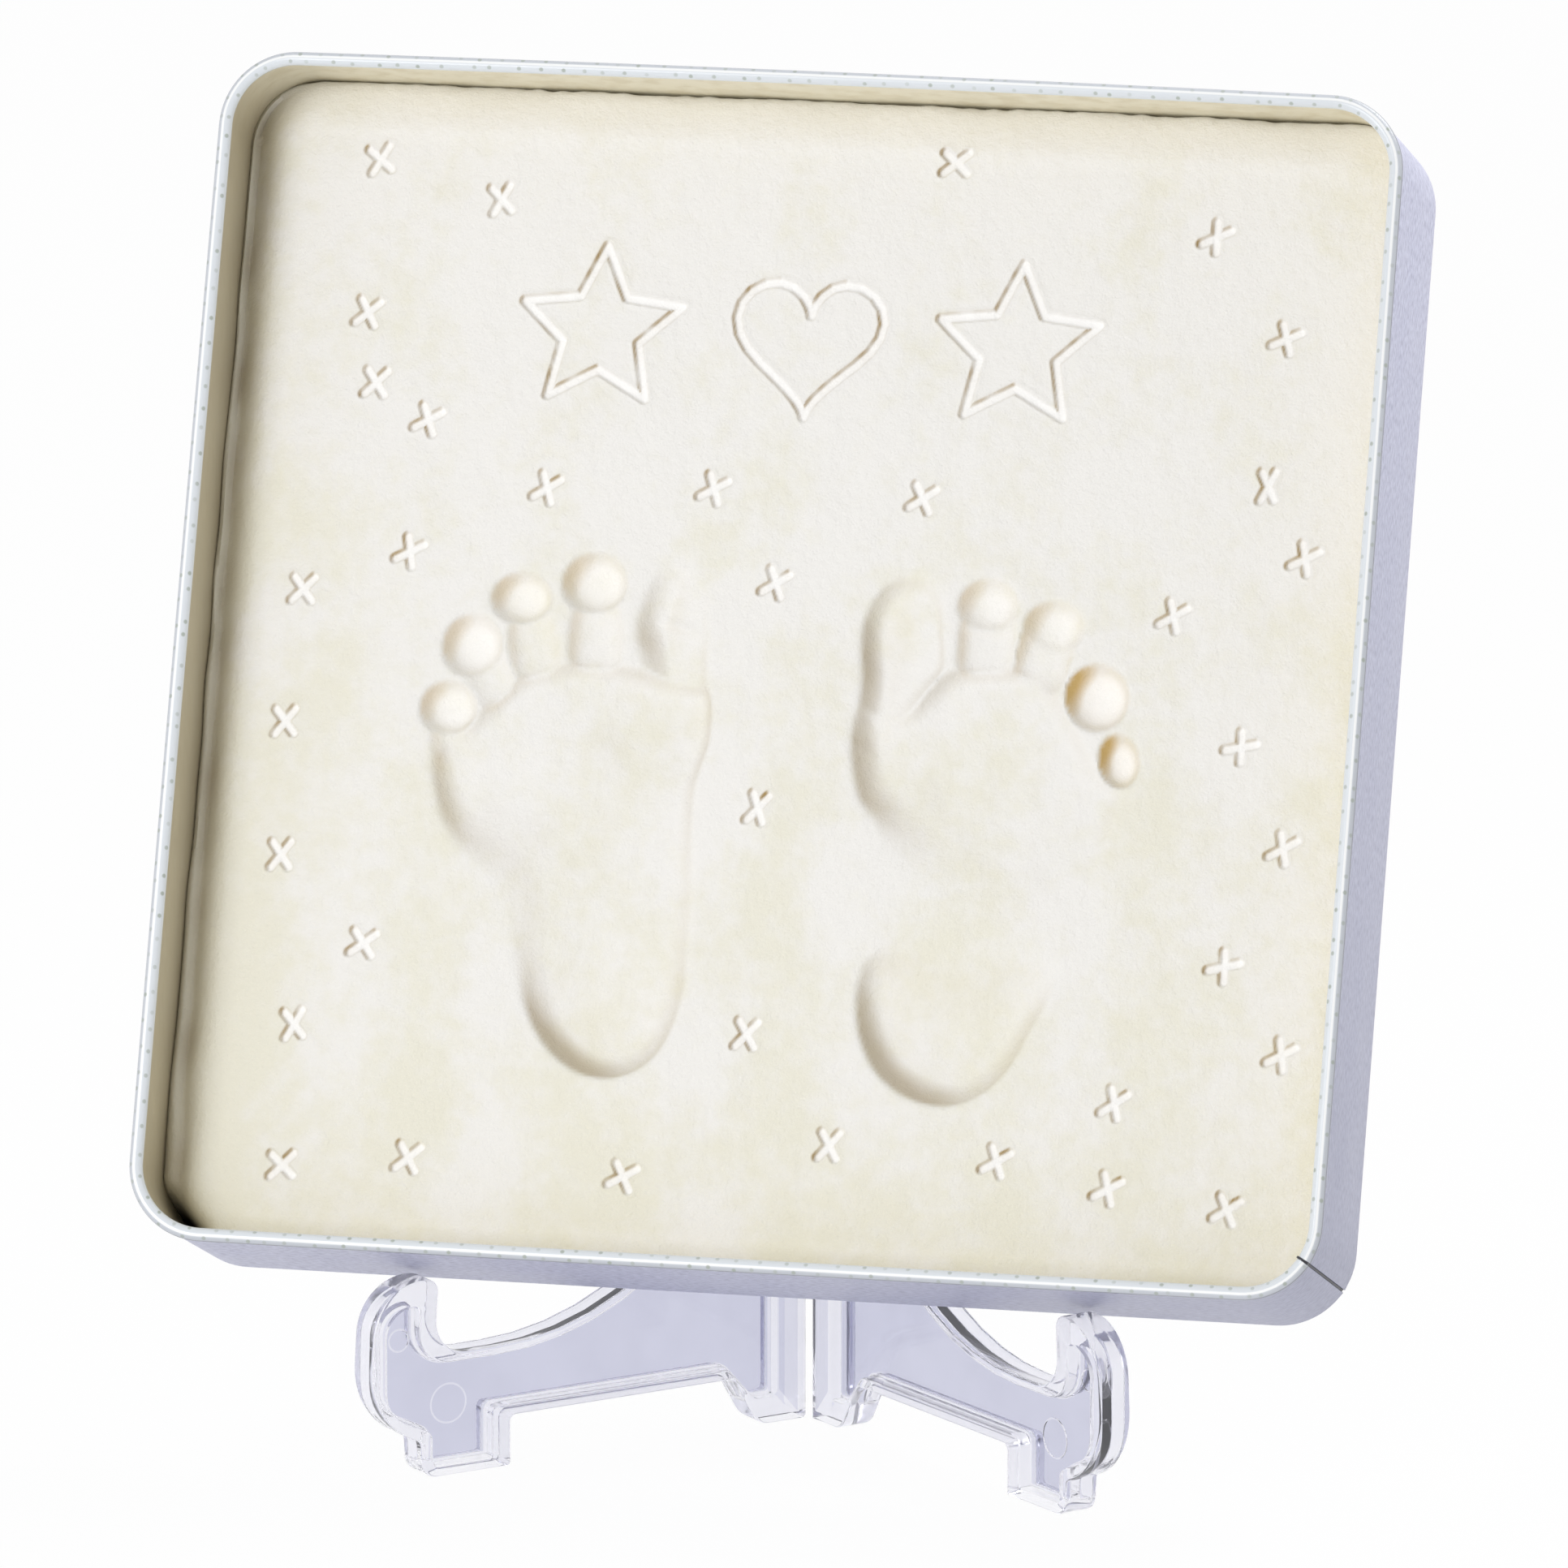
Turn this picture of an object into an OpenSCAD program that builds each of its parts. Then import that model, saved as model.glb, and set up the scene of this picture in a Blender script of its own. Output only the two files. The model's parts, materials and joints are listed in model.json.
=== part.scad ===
// Imprint keepsake box: an open square tin holding a slab of dried clay with two footprints,
// leaning on a clear folding easel of two hinged leaves. The table is the plane z = 0, the front
// looks towards -Y, and the origin is under the middle of the whole object.

/* [Tin] */
// Width and height of the tin across its rolled rim
tin_side = 170; // [165:1:185]
// Depth of the tin from its back to the front of the rim
tin_depth = 31.5; // [28:0.5:36]
// Outside radius of the rim's corners
tin_corner_r = 11; // [9:0.5:14]
// Thickness of the tinplate
sheet_t = 0.4; // [0.3:0.05:0.5]
// Diameter of the rolled rim
rim_d = 1.9; // [1.7:0.1:2.4]
// How far the rim stands out from the wall
rim_proud = 0.35; // [0.2:0.05:0.5]
// Width of the hem turned in round the back
hem_w = 3; // [2:0.5:5]
// Distance from the wall to the step pressed into the back panel
panel_border = 9; // [7:0.5:14]

/* [Clay] */
// Depth of the clay's face below the front of the rim
clay_recess = 13; // [11:0.5:15]
// Gap that drying leaves between the clay and the wall
clay_gap = 0.6; // [0.4:0.1:1.5]
// Rounding of the clay's front edge
clay_edge_r = 3.4; // [1.2:0.2:4]
// Width of a mark pressed with a stick
stroke_w = 1.4; // [1.2:0.1:2.2]
// Depth of a mark pressed with a stick
stroke_depth = 0.8; // [0.6:0.1:1.6]
// Scale of the footprints' depth
print_depth = 1; // [0.7:0.05:1.3]

/* [Easel] */
// Angle that the tin leans back
lean = 22.1; // [20:0.1:24]
// Angle between the open leaves
open_angle = 93.4; // [90:0.1:95]
// Distance of the hinge to the right of the tin's middle
stand_x = 0.4; // [-2:0.1:2]
// Height of the tin's lower back edge above the table
tin_foot_z = 26; // [25.9:0.1:27]
// Distance from the tin's lower back edge back to the hinge axis
hinge_back = 30.7; // [30.5:0.1:32]
// Thickness of a leaf
leaf_t = 5.3; // [4.8:0.1:6]
// Width of the flange round a leaf
flange_w = 1.7; // [1.4:0.1:2.2]
// Thickness of the web inside the flange
web_t = 1.5; // [1.2:0.1:2]
// Height of the arch under a leaf
arch_h = 7.3; // [6:0.1:8.5]
// Length of a leaf from the hinge to the outside of its hook
leaf_reach = 71; // [71:0.5:73]
// Radius of the hinge pins
pin_r = 1.5; // [1.3:0.1:1.6]
// Radius of the hinge knuckles
knuckle_r = 2.6; // [2.5:0.05:2.7]

/* [Hidden] */
$fn = 64;

// Wall of the tin, inside the rim
wall_side = tin_side - 2 * rim_proud;
wall_corner_r = tin_corner_r - rim_proud;
wall_straight = wall_side - 2 * wall_corner_r;
panel_fit = 0.1;
seam_turn = -30;
seam_w = 0.2;
seam_depth = 0.2;

// Clay, in the tin's own frame: x to the right, y up the face, z out of the face
clay_bottom = 2 * sheet_t;
clay_top = tin_depth - clay_recess;
clay_side = wall_side - 2 * (sheet_t + clay_gap);
clay_corner_r = wall_corner_r - sheet_t - clay_gap;
corner_steps = 8;
edge_steps = 4;

// Footprint dishes: x, y, half width, half height, turn, depth, flatness of the bottom
left_print = [
    [-47.5, -6, 4.4, 4.4, 0, 3.2, 1.3],
    [-45, 3.4, 4.6, 4.5, 0, 3.4, 1.3],
    [-38.3, 10, 4.9, 4.6, 0, 3.4, 1.3],
    [-27.5, 12, 5.4, 5.2, 0, 3.4, 1.3],
    [-16.3, 9.2, 5.2, 7, 0, 2.6, 1.5],
    [-45, -13, 4.5, 6, 0, 1.6, 1],
    [-41, -2, 4, 4, 0, 1.5, 1],
    [-36, 3.5, 3.5, 5, 0, 1.6, 1.2],
    [-27.8, 4.4, 4.2, 5.5, 0, 1.6, 1.2],
    [-16.5, 1.5, 5, 5, 0, 1.4, 1.2],
    [-27, -9, 16.5, 11.5, -6, 2.8, 2.2],
    [-37, -20, 10.5, 15, 14, 2.6, 2],
    [-24, -27, 13.5, 20, 0, 2.2, 2.2],
    [-22.5, -44.5, 12.3, 12.6, 0, 3.8, 2],
];
right_print = [
    [15.6, 8.5, 5.4, 8, 0, 3.2, 1.5],
    [27, 12, 4, 4.4, 0, 2.8, 1.3],
    [36, 9.4, 4, 4.4, 0, 2.8, 1.3],
    [45, 0.3, 4.8, 4.9, 0, 3.8, 1.3],
    [48.8, -8.6, 3.2, 4, 10, 3.2, 1.3],
    [15.8, -1, 5, 5, 0, 1.8, 1.2],
    [27, 6, 4, 4.5, 0, 1.6, 1.2],
    [35, 4, 4, 4.5, 0, 1.5, 1.2],
    [28, -9.5, 17.4, 13, 0, 2.8, 2.2],
    [38, -17, 12, 12, 0, 1.8, 1.5],
    [29, -28, 12, 16, 0, 1, 1.2],
    [27.3, -45.8, 13.1, 12.6, 0, 3.8, 2],
];
print_step = 1.7;
print_margin = 2;
print_skim = 0.25;
print_lid = 2;
print_blend = 5;

// Small pressed crosses: place, angle of the rising bar, angle of the falling bar
crosses = [
    [-64, 72, 62, -38], [-46, 67, 63, -45], [19, 75, 40, -42], [57, 66, 26, -89], [68, 52, 25, -73],
    [-64, 50, 41, -61], [-62, 40, 46, -54], [-54, 35, 30, -69], [-36, 26, 33, -72], [-12, 27, 30, -71],
    [18, 27, 35, -62], [67, 31, 65, -63], [73, 21, 28, -78], [-55, 16, 28, -79], [-70, 10, 47, -51],
    [-2, 14, 33, -68], [55, 12, 32, -75], [-71, -9, 54, -50], [66, -6, 13, -88], [-70, -28, 55, -53],
    [73, -20, 31, -78], [-2, -18, 49, -69], [-57, -40, 38, -53], [66, -37, 15, -88], [-66, -52, 63, -48],
    [-1, -50, 49, -58], [75, -49, 29, -80], [52, -57, 36, -75], [12, -65, 51, -59], [-66, -72, 47, -41],
    [-48, -70, 41, -59], [-17, -71, 30, -62], [36, -66, 32, -69], [52, -69, 30, -74], [69, -71, 34, -64],
];
cross_long = 6;
cross_short = 5.7;

// Row of outlined hearts and stars above the footprints
motif_y = 49;
motif_pitch = 30;
star_r = 12;
star_waist = 0.48;
heart_size = 0.66;
heart_steps = 18;

// Easel
half_open = open_angle / 2;
fold_gap = 0.3;
rest_gap = 0.35;
arc_steps = 8;
hinge_end = -0.75;
hinge_round = 2.4;
rear_foot = 8;
rear_pad_h = 3.9;
arch_start = 12.2;
front_foot = [48.9, 63.2];
foot_top = 5.4;
hook_low = 9.2;
hook_top = 29.3;
finger_in = 61.2;
finger_tip = [60.4, 28.8];
cradle_z = 17.6;
cradle_r = 44;
cradle_back = 37.4;
cradle_rise = 35;
upright_r = 20;
upright_bend = 13;
top_w = 3.4;
leaf_top = rest_height(top_w);

// Pockets: narrower flange along the cradle, wider round the hook and behind the front foot
cradle_flange = 1.2;
hook_flange = 2.2;
finger_w = 2.4;
heel_flange = 3;
hook_pocket_top = 25.2;
pocket_d = (leaf_t - web_t) / 2;

// Hinge: two sets, each with a pin between two ears on one leaf and a clip on the other
hinge_set_z = [30, 64];
ear_h = 4;
pin_l = 12;
hinge_play = 0.3;
pin_clearance = 0.06;
knuckle_room = 0.7;
arm_l = 4.6;
arm_inset = 0.3;
clip_mouth = 2.3;

// Placing of the tin and the hinge, with the origin under the middle of the bounding box
back_edge_y = -sin(lean) * wall_side / 2;
rim_front_y = -sin(lean) * (tin_side - rim_d) / 2 - cos(lean) * (tin_depth - rim_d / 2) - rim_d / 2;
top_back_y = sin(lean) * wall_side / 2;
tin_y = -(rim_front_y + top_back_y) / 2;
tin_z = tin_foot_z + cos(lean) * wall_side / 2;
hinge_y = tin_y + back_edge_y + hinge_back;

// Height at which the back of the tin passes a distance from the hinge
function rest_height(reach) = tin_foot_z + (hinge_back - rest_gap - reach * cos(half_open)) / tan(lean);

function unit(v) = v / norm(v);

// Arc that rounds the corner b between its neighbours a and c with radius r
function corner_arc(a, b, c, r) =
    let (
        u = unit(a - b),
        v = unit(c - b),
        half = acos(u * v) / 2,
        centre = b + unit(u + v) * r / sin(half),
        start = b + u * r / tan(half) - centre,
        first = atan2(start.y, start.x),
        way = sign(cross(b - a, c - b)),
        sweep = way * (180 - 2 * half)
    )
    [for (i = [0:arc_steps])
        let (turn = first + sweep * i / arc_steps)
        centre + r * [cos(turn), sin(turn)]];

function flat(p) = [p.x, p.y];

// Outline through a list of corners, each given as x, y and its rounding radius
function rounded(corners) =
    let (n = len(corners))
    [for (i = [0:n - 1])
        let (before = corners[(i + n - 1) % n], here = corners[i], after = corners[(i + 1) % n])
        each corner_arc(flat(before), flat(here), flat(after), here.z)];

// Ring of a square with rounded corners, at one height
function square_ring(side, r, z) =
    [for (q = [0:3], i = [0:corner_steps])
        let (
            turn = 90 * q + 90 * i / corner_steps,
            cx = (side / 2 - r) * (q == 0 || q == 3 ? 1 : -1),
            cy = (side / 2 - r) * (q < 2 ? 1 : -1)
        )
        [cx + r * cos(turn), cy + r * sin(turn), z]];

// Depth that one dish of a footprint has at a point
function dish(p, d) =
    let (
        dx = p.x - d[0],
        dy = p.y - d[1],
        along = (dx * cos(d[4]) + dy * sin(d[4])) / d[2],
        across = (dy * cos(d[4]) - dx * sin(d[4])) / d[3],
        q = along * along + across * across
    )
    q >= 1 ? 0 : d[5] * (1 - pow(q, d[6]));

function total(list, i = 0) = i < len(list) ? list[i] + total(list, i + 1) : 0;

// Depth of a whole footprint at a point, with its dishes blended into each other
function print_at(p, dishes) =
    print_depth * pow(total([for (d = dishes) pow(dish(p, d), print_blend)]), 1 / print_blend);

// Section through the tin's wall: hem, wall and rolled rim, with the outside of the wall at x = 0
module wall_section() {
    curl = [rim_proud - rim_d / 2, tin_depth - rim_d / 2];
    translate([-sheet_t, 0])
        square([sheet_t, tin_depth - rim_d / 2]);
    translate([-hem_w, 0])
        square([hem_w, sheet_t]);
    translate(curl)
        difference() {
            circle(d = rim_d);
            circle(d = rim_d - 2 * sheet_t);
            rotate(200)
                square([rim_d, sheet_t]);
        }
}

// A section carried round the square of the tin
module round_the_tin() {
    for (q = [0:3])
        rotate(90 * q) {
            translate([wall_side / 2, 0, 0])
                rotate([90, 0, 0])
                    linear_extrude(wall_straight, center = true)
                        children();
            translate([wall_straight / 2, wall_straight / 2, 0])
                rotate_extrude(angle = 90)
                    translate([wall_corner_r, 0])
                        children();
        }
}

module rounded_square(side, r) {
    square([side, side - 2 * r], center = true);
    square([side - 2 * r, side], center = true);
    for (x = [-1, 1], y = [-1, 1])
        translate([x, y] * (side / 2 - r))
            circle(r);
}

// The tin's frame set on the easel
module on_the_easel() {
    translate([0, tin_y, tin_z])
        rotate([90 - lean, 0, 0])
            children();
}

module tin_wall() {
    color([0.8, 0.8, 0.88])
        on_the_easel()
            difference() {
                round_the_tin()
                    wall_section();
                translate([wall_straight / 2, -wall_straight / 2, -1])
                    rotate(seam_turn)
                        translate([wall_corner_r - seam_depth, -seam_w / 2, 0])
                            cube([seam_depth + rim_d, seam_w, tin_depth + 2]);
            }
}

module tin_base() {
    panel_side = wall_side - 2 * (sheet_t + panel_fit);
    panel_r = wall_corner_r - sheet_t - panel_fit;
    step_side = wall_side - 2 * panel_border;
    step_r = wall_corner_r;
    color([0.75, 0.75, 0.82])
        on_the_easel()
            difference() {
                union() {
                    translate([0, 0, sheet_t])
                        linear_extrude(sheet_t)
                            rounded_square(panel_side, panel_r);
                    linear_extrude(1.5 * sheet_t)
                        rounded_square(step_side, step_r);
                }
                translate([0, 0, sheet_t])
                    linear_extrude(2 * sheet_t)
                        rounded_square(step_side - 2 * sheet_t, step_r - sheet_t);
            }
}

// Slab of clay with a rounded front edge, its underside filling the step of the back panel
module clay_blank() {
    pad_side = wall_side - 2 * (panel_border + 2 * sheet_t);
    pad_r = wall_corner_r - 2 * sheet_t;
    rings = [
        square_ring(pad_side, pad_r, sheet_t),
        square_ring(pad_side, pad_r, clay_bottom),
        square_ring(clay_side, clay_corner_r, clay_bottom),
        for (i = [0:edge_steps])
            let (
                turn = 90 * i / edge_steps,
                inset = clay_edge_r * (1 - cos(turn)),
                height = clay_top - clay_edge_r * (1 - sin(turn))
            )
            square_ring(clay_side - 2 * inset, clay_corner_r - inset, height),
    ];
    n = len(rings[0]);
    m = len(rings);
    polyhedron(
        points = [for (ring = rings) each ring],
        faces = [
            [for (i = [0:n - 1]) i],
            for (k = [0:m - 2], i = [0:n - 1])
                let (a = k * n + i, b = k * n + (i + 1) % n)
                each [[a, a + n, b + n], [a, b + n, b]],
            [for (i = [n - 1:-1:0]) (m - 1) * n + i],
        ]
    );
}

// Solid foot that presses one footprint: a grid that dips below the clay's face where the foot goes in
module foot_form(dishes) {
    low = [for (k = [0, 1]) min([for (d = dishes) d[k] - max(d[2], d[3])]) - print_margin];
    high = [for (k = [0, 1]) max([for (d = dishes) d[k] + max(d[2], d[3])]) + print_margin];
    nx = ceil((high.x - low.x) / print_step);
    ny = ceil((high.y - low.y) / print_step);
    points = [
        for (j = [0:ny], i = [0:nx])
            let (p = low + print_step * [i, j], border = i == 0 || j == 0 || i == nx || j == ny)
            [p.x, p.y, border ? print_lid : print_skim - print_at(p, dishes)],
        [(low.x + high.x) / 2, (low.y + high.y) / 2, print_lid],
    ];
    row = nx + 1;
    hub = row * (ny + 1);
    edge = [
        for (i = [0:nx - 1]) i,
        for (j = [0:ny - 1]) j * row + nx,
        for (i = [nx:-1:1]) ny * row + i,
        for (j = [ny:-1:1]) j * row,
    ];
    polyhedron(
        points = points,
        faces = [
            for (j = [0:ny - 1], i = [0:nx - 1])
                let (a = j * row + i)
                each [[a, a + 1, a + row + 1], [a, a + row + 1, a + row]],
            for (k = [0:len(edge) - 1]) [hub, edge[(k + 1) % len(edge)], edge[k]],
        ]
    );
}

// Bar pressed with a stick between two points
module stroke(a, b) {
    translate(a)
        rotate(atan2(b.y - a.y, b.x - a.x))
            translate([-stroke_w / 2, -stroke_w / 2])
                square([norm(b - a) + stroke_w, stroke_w]);
}

module stroke_loop(points) {
    n = len(points);
    for (i = [0:n - 1])
        stroke(points[i], points[(i + 1) % n]);
}

module small_cross(rising, falling) {
    rotate(rising)
        square([cross_long, stroke_w], center = true);
    rotate(falling)
        square([cross_short, stroke_w], center = true);
}

module star_outline() {
    stroke_loop([for (i = [0:9]) star_r * (i % 2 == 0 ? 1 : star_waist) * [sin(36 * i), cos(36 * i)]]);
}

module heart_outline() {
    stroke_loop([
        for (i = [0:heart_steps - 1])
            let (t = 360 * i / heart_steps)
            heart_size * [16 * pow(sin(t), 3), 13 * cos(t) - 5 * cos(2 * t) - 2 * cos(3 * t) - cos(4 * t)]
    ]);
}

module pressed_marks() {
    for (c = crosses)
        translate([c.x, c.y])
            small_cross(c[2], c[3]);
    for (side = [-1, 1])
        translate([side * motif_pitch, motif_y])
            star_outline();
    translate([0, motif_y])
        heart_outline();
}

module clay_slab() {
    color([0.94, 0.93, 0.89])
        on_the_easel()
            difference() {
                clay_blank();
                translate([0, 0, clay_top]) {
                    foot_form(left_print);
                    foot_form(right_print);
                    translate([0, 0, -stroke_depth])
                        linear_extrude(stroke_depth + 1)
                            pressed_marks();
                }
            }
}

// Side view of a leaf: x out from the hinge, y up from the table
leaf_corners = [
    [hinge_end, 0, 1.2],
    [rear_foot, 0, 3],
    [arch_start, arch_h, 2],
    [front_foot[0], arch_h, 1],
    [front_foot[0], 0, 0.6],
    [front_foot[1], 0, 2.5],
    [front_foot[1] + 0.3, foot_top, 0.8],
    [leaf_reach + 0.8, hook_low, 11],
    [leaf_reach - 0.4, hook_top, 8],
    [finger_tip.x, finger_tip.y, 1.8],
    [finger_in, cradle_z, 5],
    [cradle_back, cradle_z, cradle_r],
    [upright_r, cradle_z + (cradle_back - upright_r) * tan(cradle_rise), upright_bend],
    [upright_r, rest_height(upright_r), 8],
    [top_w, leaf_top, 1.5],
    [hinge_end, leaf_top, 2],
];

// Pocket inside the flange, the same on both faces
pocket_bend = [upright_r - flange_w, cradle_z - cradle_flange];
pocket_back = cradle_back - 0.4;
pocket_corners = [
    [top_w + flange_w, rear_pad_h, 1],
    [rear_foot + 0.6, rear_pad_h, 1.5],
    [arch_start + 0.9, arch_h + flange_w, 2],
    [front_foot[0] + heel_flange, arch_h + flange_w, 1],
    [front_foot[0] + heel_flange, flange_w, 0.5],
    [front_foot[1] - flange_w, flange_w, 0.8],
    [front_foot[1] - flange_w, foot_top + 1, 1.5],
    [leaf_reach - hook_flange, hook_low + 0.8, 5],
    [leaf_reach - hook_flange, hook_pocket_top, 4.2],
    [finger_in + finger_w, hook_pocket_top, 0.8],
    [finger_in + finger_w, pocket_bend.y, 5],
    [pocket_back, pocket_bend.y, cradle_r + cradle_flange],
    [pocket_bend.x, pocket_bend.y + (pocket_back - pocket_bend.x) * tan(cradle_rise), upright_bend],
    [pocket_bend.x, rest_height(upright_r) - 1, 6],
    [top_w + flange_w, rest_height(top_w + 2 * flange_w) - 2, 1.5],
];

// Plan view of a leaf: x out from the hinge, y towards its inner face
plan_corners = [
    [hinge_end, -fold_gap / 2 - leaf_t, hinge_round],
    [leaf_reach + 5, -fold_gap / 2 - leaf_t, 1],
    [leaf_reach + 5, -fold_gap / 2, 1],
    [hinge_end, -fold_gap / 2, hinge_round],
];

// A leaf without its hinge, standing in its own frame with the hinge axis along z
module leaf_plate() {
    knuckle_zone = 2 * ear_h + pin_l;
    difference() {
        intersection() {
            rotate([90, 0, 0])
                linear_extrude(4 * leaf_t, center = true)
                    polygon(rounded(leaf_corners));
            mirror([0, 1, 0])
                linear_extrude(2 * leaf_top)
                    polygon(rounded(plan_corners));
        }
        for (y = [pocket_d, 2 * leaf_t - pocket_d])
            translate([0, fold_gap / 2 + y, 0])
                rotate([90, 0, 0])
                    linear_extrude(leaf_t)
                        polygon(rounded(pocket_corners));
        for (z = hinge_set_z)
            translate([hinge_end - 1, -leaf_t, z - hinge_play])
                cube([knuckle_r + knuckle_room - hinge_end + 1, 3 * leaf_t, knuckle_zone + 2 * hinge_play]);
    }
}

// Bridge from a knuckle to its own leaf
module knuckle_arm(h) {
    translate([0, fold_gap / 2 + arm_inset, 0])
        cube([arm_l, knuckle_r - fold_gap / 2 - 2 * arm_inset, h]);
}

// Two ears with a pin between them
module pin_knuckle() {
    for (z = [0, ear_h + pin_l])
        translate([0, 0, z]) {
            cylinder(r = knuckle_r, h = ear_h);
            knuckle_arm(ear_h);
        }
    translate([0, 0, ear_h / 2])
        cylinder(r = pin_r, h = pin_l + ear_h);
}

// Snap clip that turns on a pin
module clip_knuckle() {
    clip_l = pin_l - 2 * hinge_play;
    translate([0, 0, ear_h + hinge_play])
        difference() {
            union() {
                cylinder(r = knuckle_r, h = clip_l);
                knuckle_arm(clip_l);
            }
            translate([0, 0, -1])
                cylinder(r = pin_r + pin_clearance, h = clip_l + 2);
            translate([-2 * knuckle_r, -clip_mouth / 2, -1])
                cube([2 * knuckle_r, clip_mouth, clip_l + 2]);
        }
}

// Leaf of one side, -1 left or 1 right, swung open about the hinge
module swung_open(side) {
    translate([stand_x, hinge_y, 0])
        scale([side, 1, 1])
            rotate(half_open - 90)
                children();
}

module stand_leaf_left() {
    color([0.85, 0.85, 0.92, 0.5])
        swung_open(-1) {
            leaf_plate();
            for (z = hinge_set_z)
                translate([0, 0, z])
                    pin_knuckle();
        }
}

module stand_leaf_right() {
    color([0.85, 0.85, 0.92, 0.5])
        swung_open(1) {
            leaf_plate();
            for (z = hinge_set_z)
                translate([0, 0, z])
                    clip_knuckle();
        }
}

tin_wall();
tin_base();
clay_slab();
stand_leaf_left();
stand_leaf_right();
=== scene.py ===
"""Looks of the imprint keepsake box: a tin of clay with two footprints, leaning on a clear folding easel."""

import json
import logging
import math
from dataclasses import dataclass
from enum import Enum
from typing import ClassVar

import bmesh
import bpy
import numpy as np
from mathutils import Matrix, Vector


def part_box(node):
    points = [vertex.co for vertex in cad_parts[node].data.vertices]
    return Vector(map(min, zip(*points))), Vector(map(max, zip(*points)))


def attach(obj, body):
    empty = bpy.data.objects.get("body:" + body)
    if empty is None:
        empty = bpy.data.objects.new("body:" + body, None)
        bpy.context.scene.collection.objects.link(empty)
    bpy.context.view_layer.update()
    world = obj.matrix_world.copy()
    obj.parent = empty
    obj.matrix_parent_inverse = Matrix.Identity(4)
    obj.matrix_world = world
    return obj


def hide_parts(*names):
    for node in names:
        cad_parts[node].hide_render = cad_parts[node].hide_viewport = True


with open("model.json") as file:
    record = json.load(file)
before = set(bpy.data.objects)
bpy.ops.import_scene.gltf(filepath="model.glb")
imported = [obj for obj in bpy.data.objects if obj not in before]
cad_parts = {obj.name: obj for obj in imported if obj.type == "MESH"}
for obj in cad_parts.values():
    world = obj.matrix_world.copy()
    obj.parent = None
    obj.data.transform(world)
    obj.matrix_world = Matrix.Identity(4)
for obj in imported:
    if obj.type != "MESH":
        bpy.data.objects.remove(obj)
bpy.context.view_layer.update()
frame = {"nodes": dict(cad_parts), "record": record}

log = logging.getLogger("keepsake")

MM = 0.001
Array = np.ndarray
Colour = tuple[float, float, float, float]
Corner = tuple[float, float, float]
Plan = list[tuple[float, float]]
Piece = bpy.types.Object
Socket = bpy.types.NodeSocket
Draft = bmesh.types.BMesh
Loop = list[bmesh.types.BMVert]


def tone(red: int, green: int, blue: int) -> Colour:
    """Turns a colour as seen on a screen into the linear colour that a shader takes.

    Args:
        red: Red from 0 to 255.
        green: Green from 0 to 255.
        blue: Blue from 0 to 255.

    Returns:
        The linear colour with an alpha of 1.
    """
    def linear(value: int) -> float:
        """One channel, from screen to linear."""
        v = value / 255
        return v / 12.92 if v <= 0.04045 else ((v + 0.055) / 1.055) ** 2.4

    return (linear(red), linear(green), linear(blue), 1.0)


def link(thing: Piece) -> None:
    """Links an object to the scene."""
    bpy.context.scene.collection.objects.link(thing)


def make_piece(name: str, points: Array, faces: list[list[int]], crease: float = 35.0) -> Piece:
    """Makes a smooth-shaded mesh object and links it to the scene.

    Args:
        name: Name of the piece.
        points: Vertices in metres, one row each.
        faces: Lists of vertex numbers.
        crease: Angle in degrees above which an edge stays sharp.

    Returns:
        The new object.
    """
    mesh = bpy.data.meshes.new(name)
    mesh.from_pydata(points.tolist(), [], faces)
    mesh.validate()
    mesh.shade_smooth()
    mesh.set_sharp_from_angle(angle=math.radians(crease))
    piece = bpy.data.objects.new(name, mesh)
    link(piece)
    return piece


def store(piece: Piece, name: str, values: Array) -> None:
    """Writes one number per vertex to a mesh attribute, for the materials to read.

    Args:
        piece: The mesh object.
        name: Name of the attribute.
        values: One value per vertex.
    """
    layer = piece.data.attributes.new(name, "FLOAT", "POINT")
    layer.data.foreach_set("value", np.asarray(values, dtype=np.float32))


def round_corners(corners: list[Corner], turn_step: float = 9.0) -> Array:
    """Outline through corners that are each rounded by their own radius.

    Args:
        corners: Corners as x, y and radius in millimetres.
        turn_step: Angle in degrees that one straight step of an arc may turn.

    Returns:
        The outline's points, one row each.
    """
    count = len(corners)
    outline = []
    for i, (x, y, radius) in enumerate(corners):
        here = np.array((x, y))
        to_last = np.array(corners[i - 1][:2]) - here
        to_next = np.array(corners[(i + 1) % count][:2]) - here
        to_last /= np.linalg.norm(to_last)
        to_next /= np.linalg.norm(to_next)
        half = math.acos(float(np.clip(to_last @ to_next, -1, 1))) / 2
        middle = (to_last + to_next) / np.linalg.norm(to_last + to_next)
        centre = here + middle * radius / math.sin(half)
        start = here + to_last * radius / math.tan(half) - centre
        way = math.copysign(1, to_next[0] * to_last[1] - to_next[1] * to_last[0])
        sweep = way * (math.pi - 2 * half)
        first = math.atan2(start[1], start[0])
        steps = max(2, math.ceil(abs(math.degrees(sweep)) / turn_step))
        for k in range(steps + 1):
            angle = first + sweep * k / steps
            outline.append(centre + radius * np.array((math.cos(angle), math.sin(angle))))
    return np.array(outline)


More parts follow.
